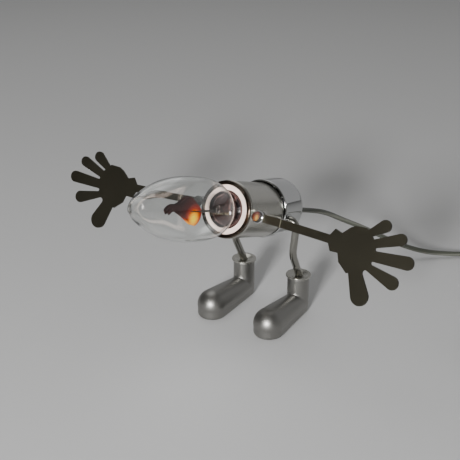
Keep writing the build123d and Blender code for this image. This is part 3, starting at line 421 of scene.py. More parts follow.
glaze = finish(
    "pale glazed ceramic", (0.84, 0.66, 0.58), 0.28, shade=0.05, patches=120,
    Coat_Weight=0.4, Coat_Roughness=0.12,
)
brass = finish("socket brass", (0.42, 0.22, 0.12), 0.35, metal=1.0, shade=0.12, patches=110)
zinc = finish("zinc plated steel", (0.56, 0.57, 0.58), 0.32, metal=1.0, shade=0.1, patches=120)
core_brown = finish("brown core insulation", (0.16, 0.06, 0.03), 0.4, shade=0.15, patches=200)
core_blue = finish("blue core insulation", (0.03, 0.10, 0.32), 0.4, shade=0.15, patches=200)
paint_nodes(glaze, "ceramic_insert")
paint_nodes(brass, "centre_contact", "line_terminal", "neutral_terminal")
paint_nodes(zinc, "terminal_screws", "core_bracket", "core_screws", "entry_nipple", "nipple_spacer")
paint_nodes(satin_nickel, "holder_cap")
paint_nodes(core_brown, "line_wire")
paint_nodes(core_blue, "neutral_wire")

# ---- screw shell
# Spun brass shell with the bulb's thread rolled into it, riveted to the ceramic. Its brass is
# painted nearly black: a little heat tarnish, the rest painted shade for the socket's deep bore.
SHELL_R = 13.5
SHELL_BORE_R = 13.25
SHELL_TOP = -1.3
SHELL_FLOOR = 0.6
SHELL_HOLE_R = 9.1
LEDGE = -26.7
PITCH = 3.62
ROLLED_DEEP = 0.4
ROLLED_LINES = 96


def rolled(angle, radius, height):
    """The shell's bore with a rolled thread that fades out at both ends."""
    if radius != SHELL_BORE_R:
        return radius
    fade = min(1.0, max(0.0, (SHELL_TOP - height) / 2), max(0.0, (height - LEDGE - 2) / 2))
    return radius - ROLLED_DEEP * fade * (0.5 - 0.5 * math.cos(2 * math.pi * height / PITCH - angle))


floor_top = LEDGE + SHELL_FLOOR
heights = [SHELL_TOP + (floor_top - SHELL_TOP) * i / ROLLED_LINES for i in range(ROLLED_LINES + 1)]
shell_outline = [
    *[(SHELL_BORE_R, height) for height in heights],
    (SHELL_HOLE_R, floor_top), (SHELL_HOLE_R, LEDGE), (SHELL_R, LEDGE), (SHELL_R, SHELL_TOP),
]
# Near-black brass: some real tarnish, darkened further as painted shade inside the socket's bore.
shell_tarnish_and_shade = finish("brass shell with tarnish and painted bore shade", (0.05, 0.021, 0.015), 0.4, metal=1.0, shade=0.3, patches=150)
dress(turned("screw_shell_rolled", shell_outline, wave=rolled), "screw_shell", shell_tarnish_and_shade)

# ---- rear cup
# Deep drawn steel cup, chrome plated and polished, bolted over the lampholder's rear.
# It sits a little tilted, and the legs hang from its sides.
CUP_LIFT = 0.9
CUP_START = -48.0
CUP_TILT = math.radians(5.5)
CUP_R = 21.45
CUP_WALL = 1.0
CUP_DEEP = 31.0
CUP_CORNER = 9.0
CUP_HOLE_R = 6.2
LIP_R = 0.75
LIP_DEEP = 2.4


def shift(x, y, z):
    """A move in millimetres."""
    return Matrix.Translation(Vector((x, y, z)) * MM)


def quarter(flat, radius, low, steps=14):
    """Points of a quarter circle from its level end up to its upright one."""
    return [
        (flat + radius * math.sin(t), low + radius - radius * math.cos(t))
        for t in (math.pi / 2 * i / steps for i in range(steps + 1))
    ]


def arc_about(out, high, radius, first, last, steps=12):
    """Points (radius, height) of an arc about a point, by angles from the axis."""
    turns = [math.radians(first + (last - first) * i / steps) for i in range(steps + 1)]
    return [(out + radius * math.sin(t), high + radius * math.cos(t)) for t in turns]


chrome = finish(
    "polished chrome", (0.54, 0.545, 0.54), 0.06, metal=1.0, shade=0.03, patches=40, uneven=0.02,
)
cup_flat = CUP_R - CUP_CORNER
cup_outline = [
    (CUP_HOLE_R, -CUP_DEEP), *quarter(cup_flat, CUP_CORNER, -CUP_DEEP),
    (CUP_R, -LIP_DEEP), *arc_about(CUP_R - LIP_R, -LIP_R, LIP_R, 90, -90), (CUP_R - CUP_WALL, -LIP_DEEP),
    *reversed(quarter(cup_flat, CUP_CORNER - CUP_WALL, CUP_WALL - CUP_DEEP)),
    (CUP_HOLE_R, CUP_WALL - CUP_DEEP),
]
CUP = BODY @ shift(0, CUP_LIFT, CUP_START) @ Matrix.Rotation(CUP_TILT, 4, "X")
dress(turned("rear_cup_drawn", cup_outline, CUP, 160), "rear_cup", chrome)

# ---- seat washer and gland nut
# Round chrome-plated nut with a knurled rim. It screws on the nipple, squeezes the cord's
# sleeve and pulls the cup against a black plastic washer.
NUT_TOP = -81.2
NUT_END = -88.2
NUT_R = 8.0
NUT_LIP_R = 3.6
NUT_LIP_T = 2.0
NIPPLE_R = 5.0
KNURLS = 40
KNURL_DEEP = 0.25
KNURL_HALF = 0.38
KNURL_TOP_HALF = 0.1
KNURL_EDGE = 0.8


def repeats(name, vertices, faces, count, step=(0, 0, 0), turn=0.0, shrink=0.0, place=BODY, material=None):
    """A row of the same small shape, each moved, turned about z and scaled from the one before."""
    seed = bpy.data.meshes.new(name)
    seed.from_pydata([Vector(v) * MM for v in vertices], [], faces)
    holder = bpy.data.objects.new(name, seed)
    bpy.context.scene.collection.objects.link(holder)
    group = bpy.data.node_groups.new(name, "GeometryNodeTree")
    sockets = {}
    for label, kind, value in (
        ("Geometry", "NodeSocketGeometry", None), ("Count", "NodeSocketInt", count),
        ("Step", "NodeSocketVector", Vector(step) * MM), ("Turn", "NodeSocketFloat", turn),
        ("Shrink", "NodeSocketFloat", shrink), ("Material", "NodeSocketMaterial", material),
    ):
        socket = group.interface.new_socket(label, in_out="INPUT", socket_type=kind)
        sockets[label] = (socket.identifier, value)
    group.interface.new_socket("Geometry", in_out="OUTPUT", socket_type="NodeSocketGeometry")
    add, join = group.nodes.new, group.links.new
    given, out = add("NodeGroupInput"), add("NodeGroupOutput")
    line = add("GeometryNodeMeshLine")
    join(given.outputs["Count"], line.inputs["Count"])
    join(given.outputs["Step"], line.inputs["Offset"])
    index = add("GeometryNodeInputIndex").outputs[0]
    about = add("ShaderNodeCombineXYZ")
    join(figure(group, "MULTIPLY", index, given.outputs["Turn"]), about.inputs["Z"])
    smaller = figure(group, "MULTIPLY_ADD", index, given.outputs["Shrink"], 1.0)
    size = add("ShaderNodeCombineXYZ")
    join(smaller, size.inputs["X"])
    join(smaller, size.inputs["Y"])
    size.inputs["Z"].default_value = 1.0
    spread = add("GeometryNodeInstanceOnPoints")
    join(line.outputs[0], spread.inputs["Points"])
    join(given.outputs["Geometry"], spread.inputs["Instance"])
    join(about.outputs[0], spread.inputs["Rotation"])
    join(size.outputs[0], spread.inputs["Scale"])
    real = add("GeometryNodeRealizeInstances")
    join(spread.outputs[0], real.inputs[0])
    coat = add("GeometryNodeSetMaterial")
    join(real.outputs[0], coat.inputs["Geometry"])
    join(given.outputs["Material"], coat.inputs["Material"])
    join(coat.outputs[0], out.inputs[0])
    modifier = holder.modifiers.new(name, "NODES")
    modifier.node_group = group
    for label in ("Count", "Step", "Turn", "Shrink", "Material"):
        identifier, value = sockets[label]
        modifier[identifier] = value
    grown = bpy.data.meshes.new_from_object(holder.evaluated_get(bpy.context.evaluated_depsgraph_get()))
    grown.transform(place)
    holder.modifiers.clear()
    holder.data = grown
    return holder


def joined(first, *others):
    """Several meshes of one real piece as one object."""
    work = bmesh.new()
    for part in (first, *others):
        work.from_mesh(part.data)
    bmesh.ops.recalc_face_normals(work, faces=work.faces)
    work.to_mesh(first.data)
    work.free()
    for part in others:
        bpy.data.objects.remove(part)
    first.data.set_sharp_from_angle(angle=math.radians(35))
    return first


def prism(outline, low, high):
    """Vertices and faces of an outline in x and y drawn up from one height to another."""
    many = len(outline)
    vertices = [(x, y, low) for x, y in outline] + [(x, y, high) for x, y in outline]
    faces = [tuple(reversed(range(many))), tuple(range(many, 2 * many))]
    faces += [(i, (i + 1) % many, many + (i + 1) % many, many + i) for i in range(many)]
    return vertices, faces


paint_nodes(finish("black washer plastic", (0.02, 0.02, 0.021), 0.4, shade=0.25, patches=90), "seat_washer")
nut_rim = NUT_R - KNURL_DEEP
nut_outline = [
    (NIPPLE_R, NUT_TOP), (nut_rim, NUT_TOP), (nut_rim, NUT_END),
    (NUT_LIP_R, NUT_END), (NUT_LIP_R, NUT_END + NUT_LIP_T), (NIPPLE_R, NUT_END + NUT_LIP_T),
]
knurl_root = nut_rim - KNURL_DEEP
knurl_outline = [
    (knurl_root, -KNURL_HALF), (NUT_R, -KNURL_TOP_HALF), (NUT_R, KNURL_TOP_HALF), (knurl_root, KNURL_HALF),
]
nut = turned("gland_nut_knurled", rounded(nut_outline, 0.4))
knurl = prism(knurl_outline, NUT_END + KNURL_EDGE, NUT_TOP - KNURL_EDGE)
knurls = repeats("gland_nut_knurls", *knurl, KNURLS, turn=2 * math.pi / KNURLS, material=chrome)
dress(joined(nut, knurls), "gland_nut", chrome)

# ---- strain relief
# Tapered sleeve of soft grey rubber moulded on the cord, with ribs so that it bends evenly.
# Its flange is clamped between the nipple and the nut.
NIPPLE_END = -84.2
RELIEF_END = -105.0
RELIEF_GAP = 0.1
RELIEF_FLANGE_R = 4.9
RELIEF_FLANGE_T = 1.8
RELIEF_NECK_R = 3.5
RELIEF_R = 4.3
RELIEF_TIP_R = 2.55
RIBS = 6
RIB_START = 3.2
RIB_STEP = -2.3
RIB_SHRINK = -0.058
RIB = [(3.5, 0.7), (4.25, 0.45), (4.3, 0), (4.25, -0.45), (3.5, -0.7), (2.6, 0)]
rubber = finish(
    "grey moulded sleeve", (0.10, 0.10, 0.095), 0.45, shade=0.2, patches=160, pits=0.2, pit_scale=1500,
)
flange_top = NIPPLE_END - RELIEF_GAP
flange_end = flange_top - RELIEF_FLANGE_T
relief_outline = [
    (0, flange_top), (RELIEF_FLANGE_R, flange_top), (RELIEF_FLANGE_R, flange_end),
    (RELIEF_NECK_R, flange_end), (RELIEF_NECK_R, NUT_END - RELIEF_GAP), (RELIEF_R, NUT_END - RELIEF_GAP),
    (RELIEF_R - 0.2, NUT_END - 2), (RELIEF_TIP_R, RELIEF_END), (0, RELIEF_END),
]
relief = turned("strain_relief_tapered", rounded(relief_outline, 0.3), around=72)
rib = spun([(r, h + NUT_END - RIB_START) for r, h in RIB], 48)
ribs = repeats("strain_relief_ribs", *rib, RIBS, step=(0, 0, RIB_STEP), shrink=RIB_SHRINK, material=rubber)
dress(joined(relief, ribs), "strain_relief", rubber)

# ---- arms
# Each arm is one flat hand and strip laser cut from dark steel sheet. It is folded a little
# across the strip, and the fold stands up as a ridge.
SIDES = (("left", 1), ("right", -1))
PIVOT_X = 25.0
PIVOT_LIFT = 0.3
ARM_MID = -5.3
ARM_T = 1.5
FOLD_OUT = 17.0
FOLD_SUNK = 0.15
FOLD_R = 0.65
STRIP_WIDE = 5.6
DROOP = {"left": 1.5, "right": 2.5}


def baked(piece):
    """The piece with its modifiers worked in."""
    mesh = bpy.data.meshes.new_from_object(piece.evaluated_get(bpy.context.evaluated_depsgraph_get()))
    piece.modifiers.clear()
    piece.data = mesh
    return piece


def evened(piece, sharp=40.0):
    """Flat faces shaded flat up to their rounded edges."""
    piece.data.shade_smooth()
    piece.data.set_sharp_from_angle(angle=math.radians(sharp))
    flats = piece.modifiers.new("flat faces", "WEIGHTED_NORMAL")
    flats.weight = 100
    flats.keep_sharp = True
    return baked(piece)


def softened(node, name, width, segments=3, angle=30.0):
    """A fair copy of a solid's mesh with its real edges rounded."""
    piece = bpy.data.objects.new(name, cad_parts[node].data.copy())
    bpy.context.scene.collection.objects.link(piece)
    work = bmesh.new()
    work.from_mesh(piece.data)
    bmesh.ops.remove_doubles(work, verts=work.verts, dist=2e-6)
    bmesh.ops.dissolve_limit(work, angle_limit=math.radians(0.5), verts=work.verts, edges=work.edges)
    bmesh.ops.recalc_face_normals(work, faces=work.faces)
    work.to_mesh(piece.data)
    work.free()
    soft = piece.modifiers.new("rounding", "BEVEL")
    soft.width = width * MM
    soft.segments = segments
    soft.limit_method = "ANGLE"
    soft.angle_limit = math.radians(angle)
    return evened(baked(piece))


hand_steel = finish(
    "dark steel sheet", (0.064, 0.059, 0.043), 0.4, metal=1.0, shade=0.08, patches=30,
    pits=0.05, pit_scale=600,
)
fold, fold_faces = prism(arc_about(0, -FOLD_SUNK, FOLD_R, 90, -90, 10), -STRIP_WIDE / 2, STRIP_WIDE / 2)
for side, sign in SIDES:
    plate = softened(side + "_arm", side + "_arm_plate", 0.25)
    droop = Matrix.Rotation(-sign * math.radians(DROOP[side]), 4, "Z")
    at_fold = BODY @ shift(sign * PIVOT_X, PIVOT_LIFT, ARM_MID) @ droop @ shift(sign * FOLD_OUT, 0, ARM_T / 2)
    ridge = smooth_mesh(side + "_fold_ridge", [(x, z, y) for x, y, z in fold], fold_faces, at_fold)
    dress(joined(plate, ridge), side + "_arm", hand_steel, side + "_hand")

# ---- arm screws, lugs and washers
# A flat-headed shoulder screw holds each arm, so that it turns but stays where it is put. It
# goes through a washer into a tapped lug that is welded to the sleeve.
HEAD_R = 4.5
HEAD_HIGH = 2.4
HEAD_EDGE = 0.7
HEAD_BEVEL = 0.2
HEAD_GAP = 0.1
SHOULDER_R = 2.5
SHOULDER_LONG = 2.25
SCREW_R = 2.0
SCREW_LONG = 6.75
head_low = ARM_MID + ARM_T / 2 + HEAD_GAP
head_top = head_low + HEAD_HIGH
screw_outline = [
    (0, head_top), (HEAD_R - HEAD_EDGE, head_top), (HEAD_R - HEAD_BEVEL, head_top - HEAD_BEVEL),
    (HEAD_R, head_top - HEAD_EDGE), (HEAD_R, head_low), (SHOULDER_R, head_low),
    (SHOULDER_R, head_low - SHOULDER_LONG), (SCREW_R, head_low - SHOULDER_LONG),
    (SCREW_R, head_low - SCREW_LONG), (0, head_low - SCREW_LONG),
]
for side, sign in SIDES:
    at_pivot = BODY @ shift(sign * PIVOT_X, PIVOT_LIFT, 0)
    screw = turned(side + "_arm_screw_flat", rounded(screw_outline, 0.15, 2), at_pivot, 96)
    dress(screw, side + "_arm_screw", chrome)
    lug = softened(side + "_arm_lug", side + "_arm_lug_welded", 0.3)
    dress(lug, side + "_arm_lug", satin_nickel)
    paint_nodes(zinc, side + "_arm_washer")

# ---- legs
# Bright drawn steel rods, bent at the knee and again below the hip. Each ends in a turned
# stub that goes through the cup's wall.
HIP_Y = 54.83
HIP_Z = 79.975
HIP_FACE = 22.4
HIP_GAP = 0.1
LEG_R = 2.8
LEG_CORNER = (29.0, HIP_Y, HIP_Z)
LEG_TOP_BEND = 5.3
KNEE_BEND = 22.0
KNEE = (25.6, 55.63, 52.5)
LEG_END = (25.04, 70.5, 24.1)
STUB_R = 2.0
STUB_LONG = 6.75
STUB_LAP = 0.05


def bent(points, radii, steps=10):
    """Straight runs with arcs between them, as a list of points."""
    path = [points[0]]
    for before, here, after, radius in zip(points, points[1:], points[2:], radii):
        arrive, leave = (here - before).normalized(), (after - here).normalized()
        turn = arrive.angle(leave)
        off = radius * math.tan(turn / 2)
        inward = (leave - arrive).normalized()
        centre = here + inward * (radius / math.cos(turn / 2))
        first = here - arrive * off - centre
        axis = arrive.cross(leave).normalized()
        path += [centre + Matrix.Rotation(turn * i / steps, 3, axis) @ first for i in range(steps + 1)]
    return path + [points[-1]]


def rod(name, path, radius, around=32, caps=0.0):
    """A round bar along a path, its ends a little chamfered."""
    ways = [(path[min(i + 1, len(path) - 1)] - path[max(i - 1, 0)]).normalized() for i in range(len(path))]
    side = ways[0].orthogonal().normalized()
    stations = []
    for i, (point, way) in enumerate(zip(path, ways)):
        if i:
            side = ways[i - 1].rotation_difference(way) @ side
        stations.append((point, way, side.copy(), radius))
    point, way, start_side, _ = stations[0]
    stations[0] = (point + way * caps, way, start_side, radius)
    stations.insert(0, (point, way, start_side, radius - caps))
    point, way, end_side, _ = stations[-1]
    stations[-1] = (point - way * caps, way, end_side, radius)
    stations.append((point, way, end_side, radius - caps))
    vertices, faces = [], []
    for point, way, side, r in stations:
        up = way.cross(side)
        for k in range(around):
            t = 2 * math.pi * k / around
            vertices.append(point + r * (math.cos(t) * side + math.sin(t) * up))
    last = (len(stations) - 1) * around
    for low in range(0, last, around):
        for k in range(around):
            j = (k + 1) % around
            faces.append((low + k, low + j, low + around + j, low + around + k))
    faces += [tuple(reversed(range(around))), tuple(range(last, last + around))]
    return smooth_mesh(name, vertices, faces, Matrix())


def across(sign, *points):
    """Points of the left side, mirrored where the sign is -1."""
    return [Vector((sign * x, y, z)) for x, y, z in points]


rod_steel = finish(
    "bright drawn rod", (0.30, 0.293, 0.265), 0.24, metal=1.0, shade=0.08, patches=60, stretch=(8, 8, 1),
)
for side, sign in SIDES:
    corners = across(sign, LEG_END, KNEE, LEG_CORNER, (HIP_FACE + HIP_GAP, HIP_Y, HIP_Z))
    leg = rod(side + "_leg_rod_bent", bent(corners, (KNEE_BEND, LEG_TOP_BEND)), LEG_R, 40, 0.2)
    ends = across(sign, (HIP_FACE + HIP_GAP + STUB_LAP, HIP_Y, HIP_Z), (HIP_FACE - STUB_LONG, HIP_Y, HIP_Z))
    stub = rod(side + "_leg_stub", ends, STUB_R, 32, 0.3)
    dress(joined(leg, stub), side + "_leg_rod", rod_steel, side + "_leg")

# ---- hip bushes and nuts
# Chrome-plated flanged bushes sit in the cup's wall as bearings for the stubs. A zinc-plated
# locknut inside the cup sets how stiffly each leg turns.
BUSH_BORE_R = 2.05
BUSH_R = 3.0
BUSH_LONG = 3.45
FLANGE_R = 4.1
FLANGE_T = 1.15
flange_low, bush_end = HIP_FACE - FLANGE_T, HIP_FACE - BUSH_LONG
bush_outline = [
    (BUSH_BORE_R, HIP_FACE), (FLANGE_R, HIP_FACE), (FLANGE_R, flange_low), (BUSH_R, flange_low),
    (BUSH_R, bush_end), (BUSH_BORE_R, bush_end),
]
for side, sign in SIDES:
    at_hip = shift(0, HIP_Y, HIP_Z) @ Matrix.Rotation(sign * math.pi / 2, 4, "Y")
    bush = turned(side + "_leg_bush_flanged", rounded(bush_outline, 0.3), at_hip, 72)
    dress(bush, side + "_leg_bush", chrome)
    locknut = softened(side + "_hip_nut", side + "_hip_locknut", 0.3)
    dress(locknut, side + "_hip_nut", zinc, side + "_leg")

# ---- shoes
# Cast metal shoes with a satin dark finish: a round-nosed foot with upright sides and a flat
# sole, and a short shaft around the leg's end.
ANKLE_X = 24.8
ANKLE_Y = 66.8
ANKLE_R = 8.3
ANKLE_TOP = 30.4
HEEL_Z = 8.5
TOE_Z = 9.4
TOE_R = 11.5
FOOT_LONG = 41.9
TOE_OUT = math.radians(0.8)
SOLE = 0.3
SOLE_EDGE = 2.5
SIDE_TOP = 8.0
SIDE_IN = 0.2
SKIN = 0.45
COLLAR_SPIGOT_R = 7.0
COLLAR_DEEP = 2.4


def cut(piece, cutter):
    """Takes a cutter out of a piece."""
    tool = piece.modifiers.new("cut", "BOOLEAN")
    tool.operation = "DIFFERENCE"
    tool.solver = "EXACT"
    tool.object = cutter
    baked(piece)
    bpy.data.objects.remove(cutter)
    return evened(piece)


def upright_sides(name, place, steps=24):
    """The lower half of a shoe: straight sides around heel and toe, rounded in to a flat sole."""
    heel_r, toe_r = ANKLE_R - SIDE_IN, TOE_R - SIDE_IN
    lean = -math.asin((toe_r - heel_r) / FOOT_LONG)
    around = [(toe_r, -FOOT_LONG, lean - (math.pi + 2 * lean) * i / steps) for i in range(steps + 1)]
    around += [(heel_r, 0, math.pi - lean - (math.pi - 2 * lean) * i / steps) for i in range(steps + 1)]
    rings = [*quarter(-SOLE_EDGE, SOLE_EDGE, SOLE, 6), (0, SIDE_TOP)]
    vertices = [
        ((r + out) * math.cos(t), y + (r + out) * math.sin(t), z) for out, z in rings for r, y, t in around
    ]
    many, last = len(around), len(vertices) - len(around)
    faces = [tuple(reversed(range(many))), tuple(range(last, last + many))]
    for low in range(0, last, many):
        for k in range(many):
            j = (k + 1) % many
            faces.append((low + k, low + j, low + many + j, low + many + k))
    return smooth_mesh(name, vertices, faces, place)


def on_sole(piece):
    """Lifts what sank below the sole when the skin was softened."""
    spots = np.empty(len(piece.data.vertices) * 3)
    piece.data.vertices.foreach_get("co", spots)
    spots[2::3] = np.maximum(spots[2::3], SOLE * MM)
    piece.data.vertices.foreach_set("co", spots)
    piece.data.update()
    return piece


cast_grey = finish(
    "satin cast metal", (0.27, 0.265, 0.25), 0.42, metal=1.0, shade=0.08, patches=45,
    pits=0.12, pit_scale=900,
)
foot_outline = [*arc_about(0, FOOT_LONG, TOE_R, 0, 90, 16), *arc_about(0, 0, ANKLE_R, 90, 180, 16)]
shaft_outline = [(0, HEEL_Z), (ANKLE_R, HEEL_Z), (ANKLE_R, ANKLE_TOP), (0, ANKLE_TOP)]
recess_r, recess_low, recess_top = COLLAR_SPIGOT_R + 0.05, ANKLE_TOP - COLLAR_DEEP, ANKLE_TOP + 5
recess_outline = [(0, recess_low), (recess_r, recess_low), (recess_r, recess_top), (0, recess_top)]
for side, sign in SIDES:
    at_ankle = shift(sign * ANKLE_X, ANKLE_Y, 0)
    toe = Vector((sign * FOOT_LONG * math.sin(TOE_OUT), -FOOT_LONG * math.cos(TOE_OUT), TOE_Z - HEEL_Z))
    along = toe.to_track_quat("Z", "X").to_matrix().to_4x4()
    foot = turned(side + "_shoe_cast", foot_outline, shift(sign * ANKLE_X, ANKLE_Y, HEEL_Z) @ along, 96)
    shaft = turned(side + "_ankle", shaft_outline, at_ankle, 96)
    lower = upright_sides(side + "_sides", at_ankle @ Matrix.Rotation(sign * TOE_OUT, 4, "Z"))
    joined(foot, shaft, lower)
    skin = foot.modifiers.new("one skin", "REMESH")
    skin.mode = "VOXEL"
    skin.voxel_size = SKIN * MM
    even = foot.modifiers.new("soften", "SMOOTH")
    even.factor = 0.5
    even.iterations = 10
    on_sole(baked(foot))
    cut(foot, turned(side + "_recess", recess_outline, at_ankle, 64))
    dress(foot, side + "_shoe", cast_grey, side + "_leg")

# ---- collars
# Turned nickel-plated plugs in the tops of the shoes, dished around the leg and drilled for
# it, so that leg and shoe are one.
COLLAR_R = 9.6
COLLAR_HIGH = 1.3
DISH_R = 7.4
DISH_FLAT_R = 4.0
collar_outline = [
    (0, ANKLE_TOP), (DISH_FLAT_R, ANKLE_TOP), (DISH_R, ANKLE_TOP + COLLAR_HIGH),
    (COLLAR_R, ANKLE_TOP + COLLAR_HIGH), (COLLAR_R, ANKLE_TOP), (COLLAR_SPIGOT_R, ANKLE_TOP),
    (COLLAR_SPIGOT_R, ANKLE_TOP - COLLAR_DEEP), (0, ANKLE_TOP - COLLAR_DEEP),
]
for side, sign in SIDES:
    at_ankle = shift(sign * ANKLE_X, ANKLE_Y, 0)
    collar = turned(side + "_collar_turned", rounded(collar_outline, 0.4), at_ankle, 96)
    low, knee = across(sign, LEG_END, KNEE)
    cut(collar, rod(side + "_leg_hole", [low, low + 0.8 * (knee - low)], LEG_R + 0.05, 48))
    dress(collar, side + "_collar", satin_nickel, side + "_leg")

# ---- sole pads
# Moulded black rubber pads let into the soles, which keep the lamp from sliding and the
# table from scratches.
pad_rubber = finish(
    "black sole rubber", (0.03, 0.03, 0.03), 0.7, shade=0.2, patches=150, pits=0.3, pit_scale=1200,
)
for side, sign in SIDES:
    pad = softened(side + "_sole_pad", side + "_sole_pad_moulded", 0.25)
    dress(pad, side + "_sole_pad", pad_rubber, side + "_leg")

# ---- bulb glass
# Flame-shaped bulb of clear soda glass, blown thin and drawn to a point. Its neck is cemented
# into the screw cap.
GLASS_OUTLINE = [
    (11.9, 3.4), (14.0, 8.2), (19.7, 21.0), (21.5, 36.8), (21.1, 52.6),
    (18.6, 68.4), (14.1, 82.0), (9.4, 92.0), (4.5, 99.5),
]
GLASS_TIP = 103.0
GLASS_WALL = 0.8
BLOWN_WALL = 0.5
GLASS_NECK_R = 11.6
NECK_FOOT_R = 11.5
NECK_BEND = -1.8
NECK_FOOT = -6.0


def smooth_line(points, first_way, last_way, per_span=8):
    """A cubic spline through points with given directions at its ends."""
    spots = np.array(points, float)
    gaps = np.linalg.norm(np.diff(spots, axis=0), axis=1)
    many = len(spots)
    matrix, goal = np.zeros((many, many)), np.zeros((many, 2))
    matrix[0, 0] = matrix[-1, -1] = 1
    goal[0], goal[-1] = first_way, last_way
    for i in range(1, many - 1):
        a, b = gaps[i - 1], gaps[i]
        matrix[i, i - 1:i + 2] = b, 2 * (a + b), a
        goal[i] = 3 * (b * (spots[i] - spots[i - 1]) / a + a * (spots[i + 1] - spots[i]) / b)
    ways = np.linalg.solve(matrix, goal)
    line = []
    for i in range(many - 1):
        for k in range(per_span):
            t = k / per_span
            line.append(
                (2 * t**3 - 3 * t**2 + 1) * spots[i] + (t**3 - 2 * t**2 + t) * gaps[i] * ways[i]
                + (3 * t**2 - 2 * t**3) * spots[i + 1] + (t**3 - t**2) * gaps[i] * ways[i + 1]
            )
    return [tuple(p) for p in line] + [tuple(points[-1])]


clear_glass = finish(
    "clear bulb glass", (0.97, 0.98, 0.97), 0.0, shade=0.01, patches=50, uneven=0.01,
    Transmission_Weight=1.0, IOR=1.45,
)
neck_bore_r, foot_bore_r = GLASS_NECK_R - GLASS_WALL, NECK_FOOT_R - GLASS_WALL
outer = smooth_line([(GLASS_NECK_R, 0), *GLASS_OUTLINE, (0, GLASS_TIP)], (0, 1), (-1, 0))
inner_side = [(r - BLOWN_WALL, z) for r, z in GLASS_OUTLINE]
inner = smooth_line([(neck_bore_r, 0), *inner_side, (0, GLASS_TIP - 2 * BLOWN_WALL)], (0, 1), (-1, 0))
neck = [
    (neck_bore_r, 0), (foot_bore_r, NECK_BEND), (foot_bore_r, NECK_FOOT),
    (NECK_FOOT_R, NECK_FOOT), (NECK_FOOT_R, NECK_BEND),
]
blown = turned("bulb_glass_blown", [*outer, *reversed(inner[1:]), *neck], around=160)
dress(blown, "bulb_glass", clear_glass, "bulb")

# ---- bulb cap
# Nickel-plated brass screw cap with its thread rolled in. Brown basing cement fills it and
# shows as a ring where the glass goes in.
CAP_MID_R = 12.5
CAP_PLAIN_R = 12.15
CAP_IN_R = 11.6
CAP_HOLE_R = 8.55
CAP_TOP = -2.0
CAP_END = -24.4
THREAD_START = -3.2
THREAD_END = -21.3
THREAD_HALF = 0.36
THREAD_LINES = 120


def cap_thread(angle, radius, height):
    """The cap's threaded skin, a full wave for each pitch."""
    if radius != CAP_MID_R:
        return radius
    return radius + THREAD_HALF * math.cos(2 * math.pi * height / PITCH - angle)


cap_nickel = finish("nickel screw cap", (0.62, 0.58, 0.52), 0.2, metal=1.0, shade=0.08, patches=90)
cement = finish(
    "brown basing cement", (0.06, 0.022, 0.017), 0.6, shade=0.45, patches=260, uneven=0.15,
    pits=0.5, pit_scale=700,
)
thread_run = (THREAD_END - THREAD_START) / THREAD_LINES
cap_outline = [
    (CAP_PLAIN_R, CAP_TOP), *[(CAP_MID_R, THREAD_START + thread_run * i) for i in range(THREAD_LINES + 1)],
    (CAP_PLAIN_R, -22.2), (9.4, CAP_END), (CAP_HOLE_R, CAP_END), (CAP_HOLE_R, -23.9), (CAP_IN_R, -21.9),
    (CAP_IN_R, CAP_TOP),
]
cap = turned("bulb_cap_threaded", cap_outline, wave=cap_thread)
dress(cap, "bulb_cap", cap_nickel, "bulb")
cap.data.materials.append(cement)
to_body = BODY.inverted()
for face in cap.data.polygons:
    spot = (to_body @ face.center) / MM
    inside = math.hypot(spot.x, spot.y) < CAP_IN_R + 0.05 and spot.z > -24
    if inside or spot.z > THREAD_START - 0.1:
        face.material_index = 1

# ---- cap insulator and contact
# Black glass is moulded into the cap's end and keeps the middle contact, a drop of solder,
# apart from the cap.
black_glass = finish("black cap glass", (0.012, 0.012, 0.014), 0.12, shade=0.2, patches=90)
solder = finish("solder contact", (0.55, 0.55, 0.54), 0.38, metal=1.0, shade=0.12, patches=200)
insulator_outline = [
    (0, -22.9), (9.2, -22.9), (9.2, -23.35), (8.5, -23.35), (8.5, -24.8), (4.9, -26.9), (0, -26.9),
]
contact_outline = [(0, -26.9), (4.5, -26.9), (4.5, -27.3), (3.6, -27.65), (2.0, -27.8), (0, -27.8)]
insulator = turned("bulb_insulator_glass", rounded(insulator_outline, 0.3))
dress(insulator, "bulb_insulator", black_glass, "bulb")
dress(turned("bulb_contact_solder", contact_outline, around=64), "bulb_contact", solder, "bulb")

# ---- glass stem and support wires
# Flared glass tube melted to the neck's foot, pinched where it holds the two support wires.
# Light passes it and the blown glass unshaded, as it does through thin clear glass.
STEM_TOP = 12.0
stem_outline = [
    (10.6, -5.9), (10.6, -5.1), (8.0, -4.2), (6.0, -2.0), (4.2, 0.6), (3.4, 3.0), (3.4, 7.0), (2.8, STEM_TOP),
    (0, STEM_TOP), (0, 8.5), (2.2, 7.0), (2.2, 2.0), (3.2, -0.6), (4.8, -2.8), (7.2, -4.9), (9.4, -5.9),
]
stem_glass = finish(
    "clear stem glass", (0.86, 0.80, 0.78), 0.05, shade=0.03, patches=80, Transmission_Weight=1.0, IOR=1.2,
)
stem = turned("bulb_stem_drawn", rounded(stem_outline, 0.6), around=96)
dress(stem, "bulb_stem", stem_glass, "bulb")
unshaded = bpy.data.collections.new("glass that casts no shadow")
unshaded.objects.link(blown)
unshaded.objects.link(stem)
for member in unshaded.collection_objects:
    member.light_linking.link_state = "EXCLUDE"
for lamp in (front_lamp, top_lamp):
    lamp.light_linking.blocker_collection = unshaded
wire_metal = finish("support wire", (0.05, 0.045, 0.042), 0.45, metal=1.0, shade=0.15, patches=300)
paint_nodes(wire_metal, "support_wires")

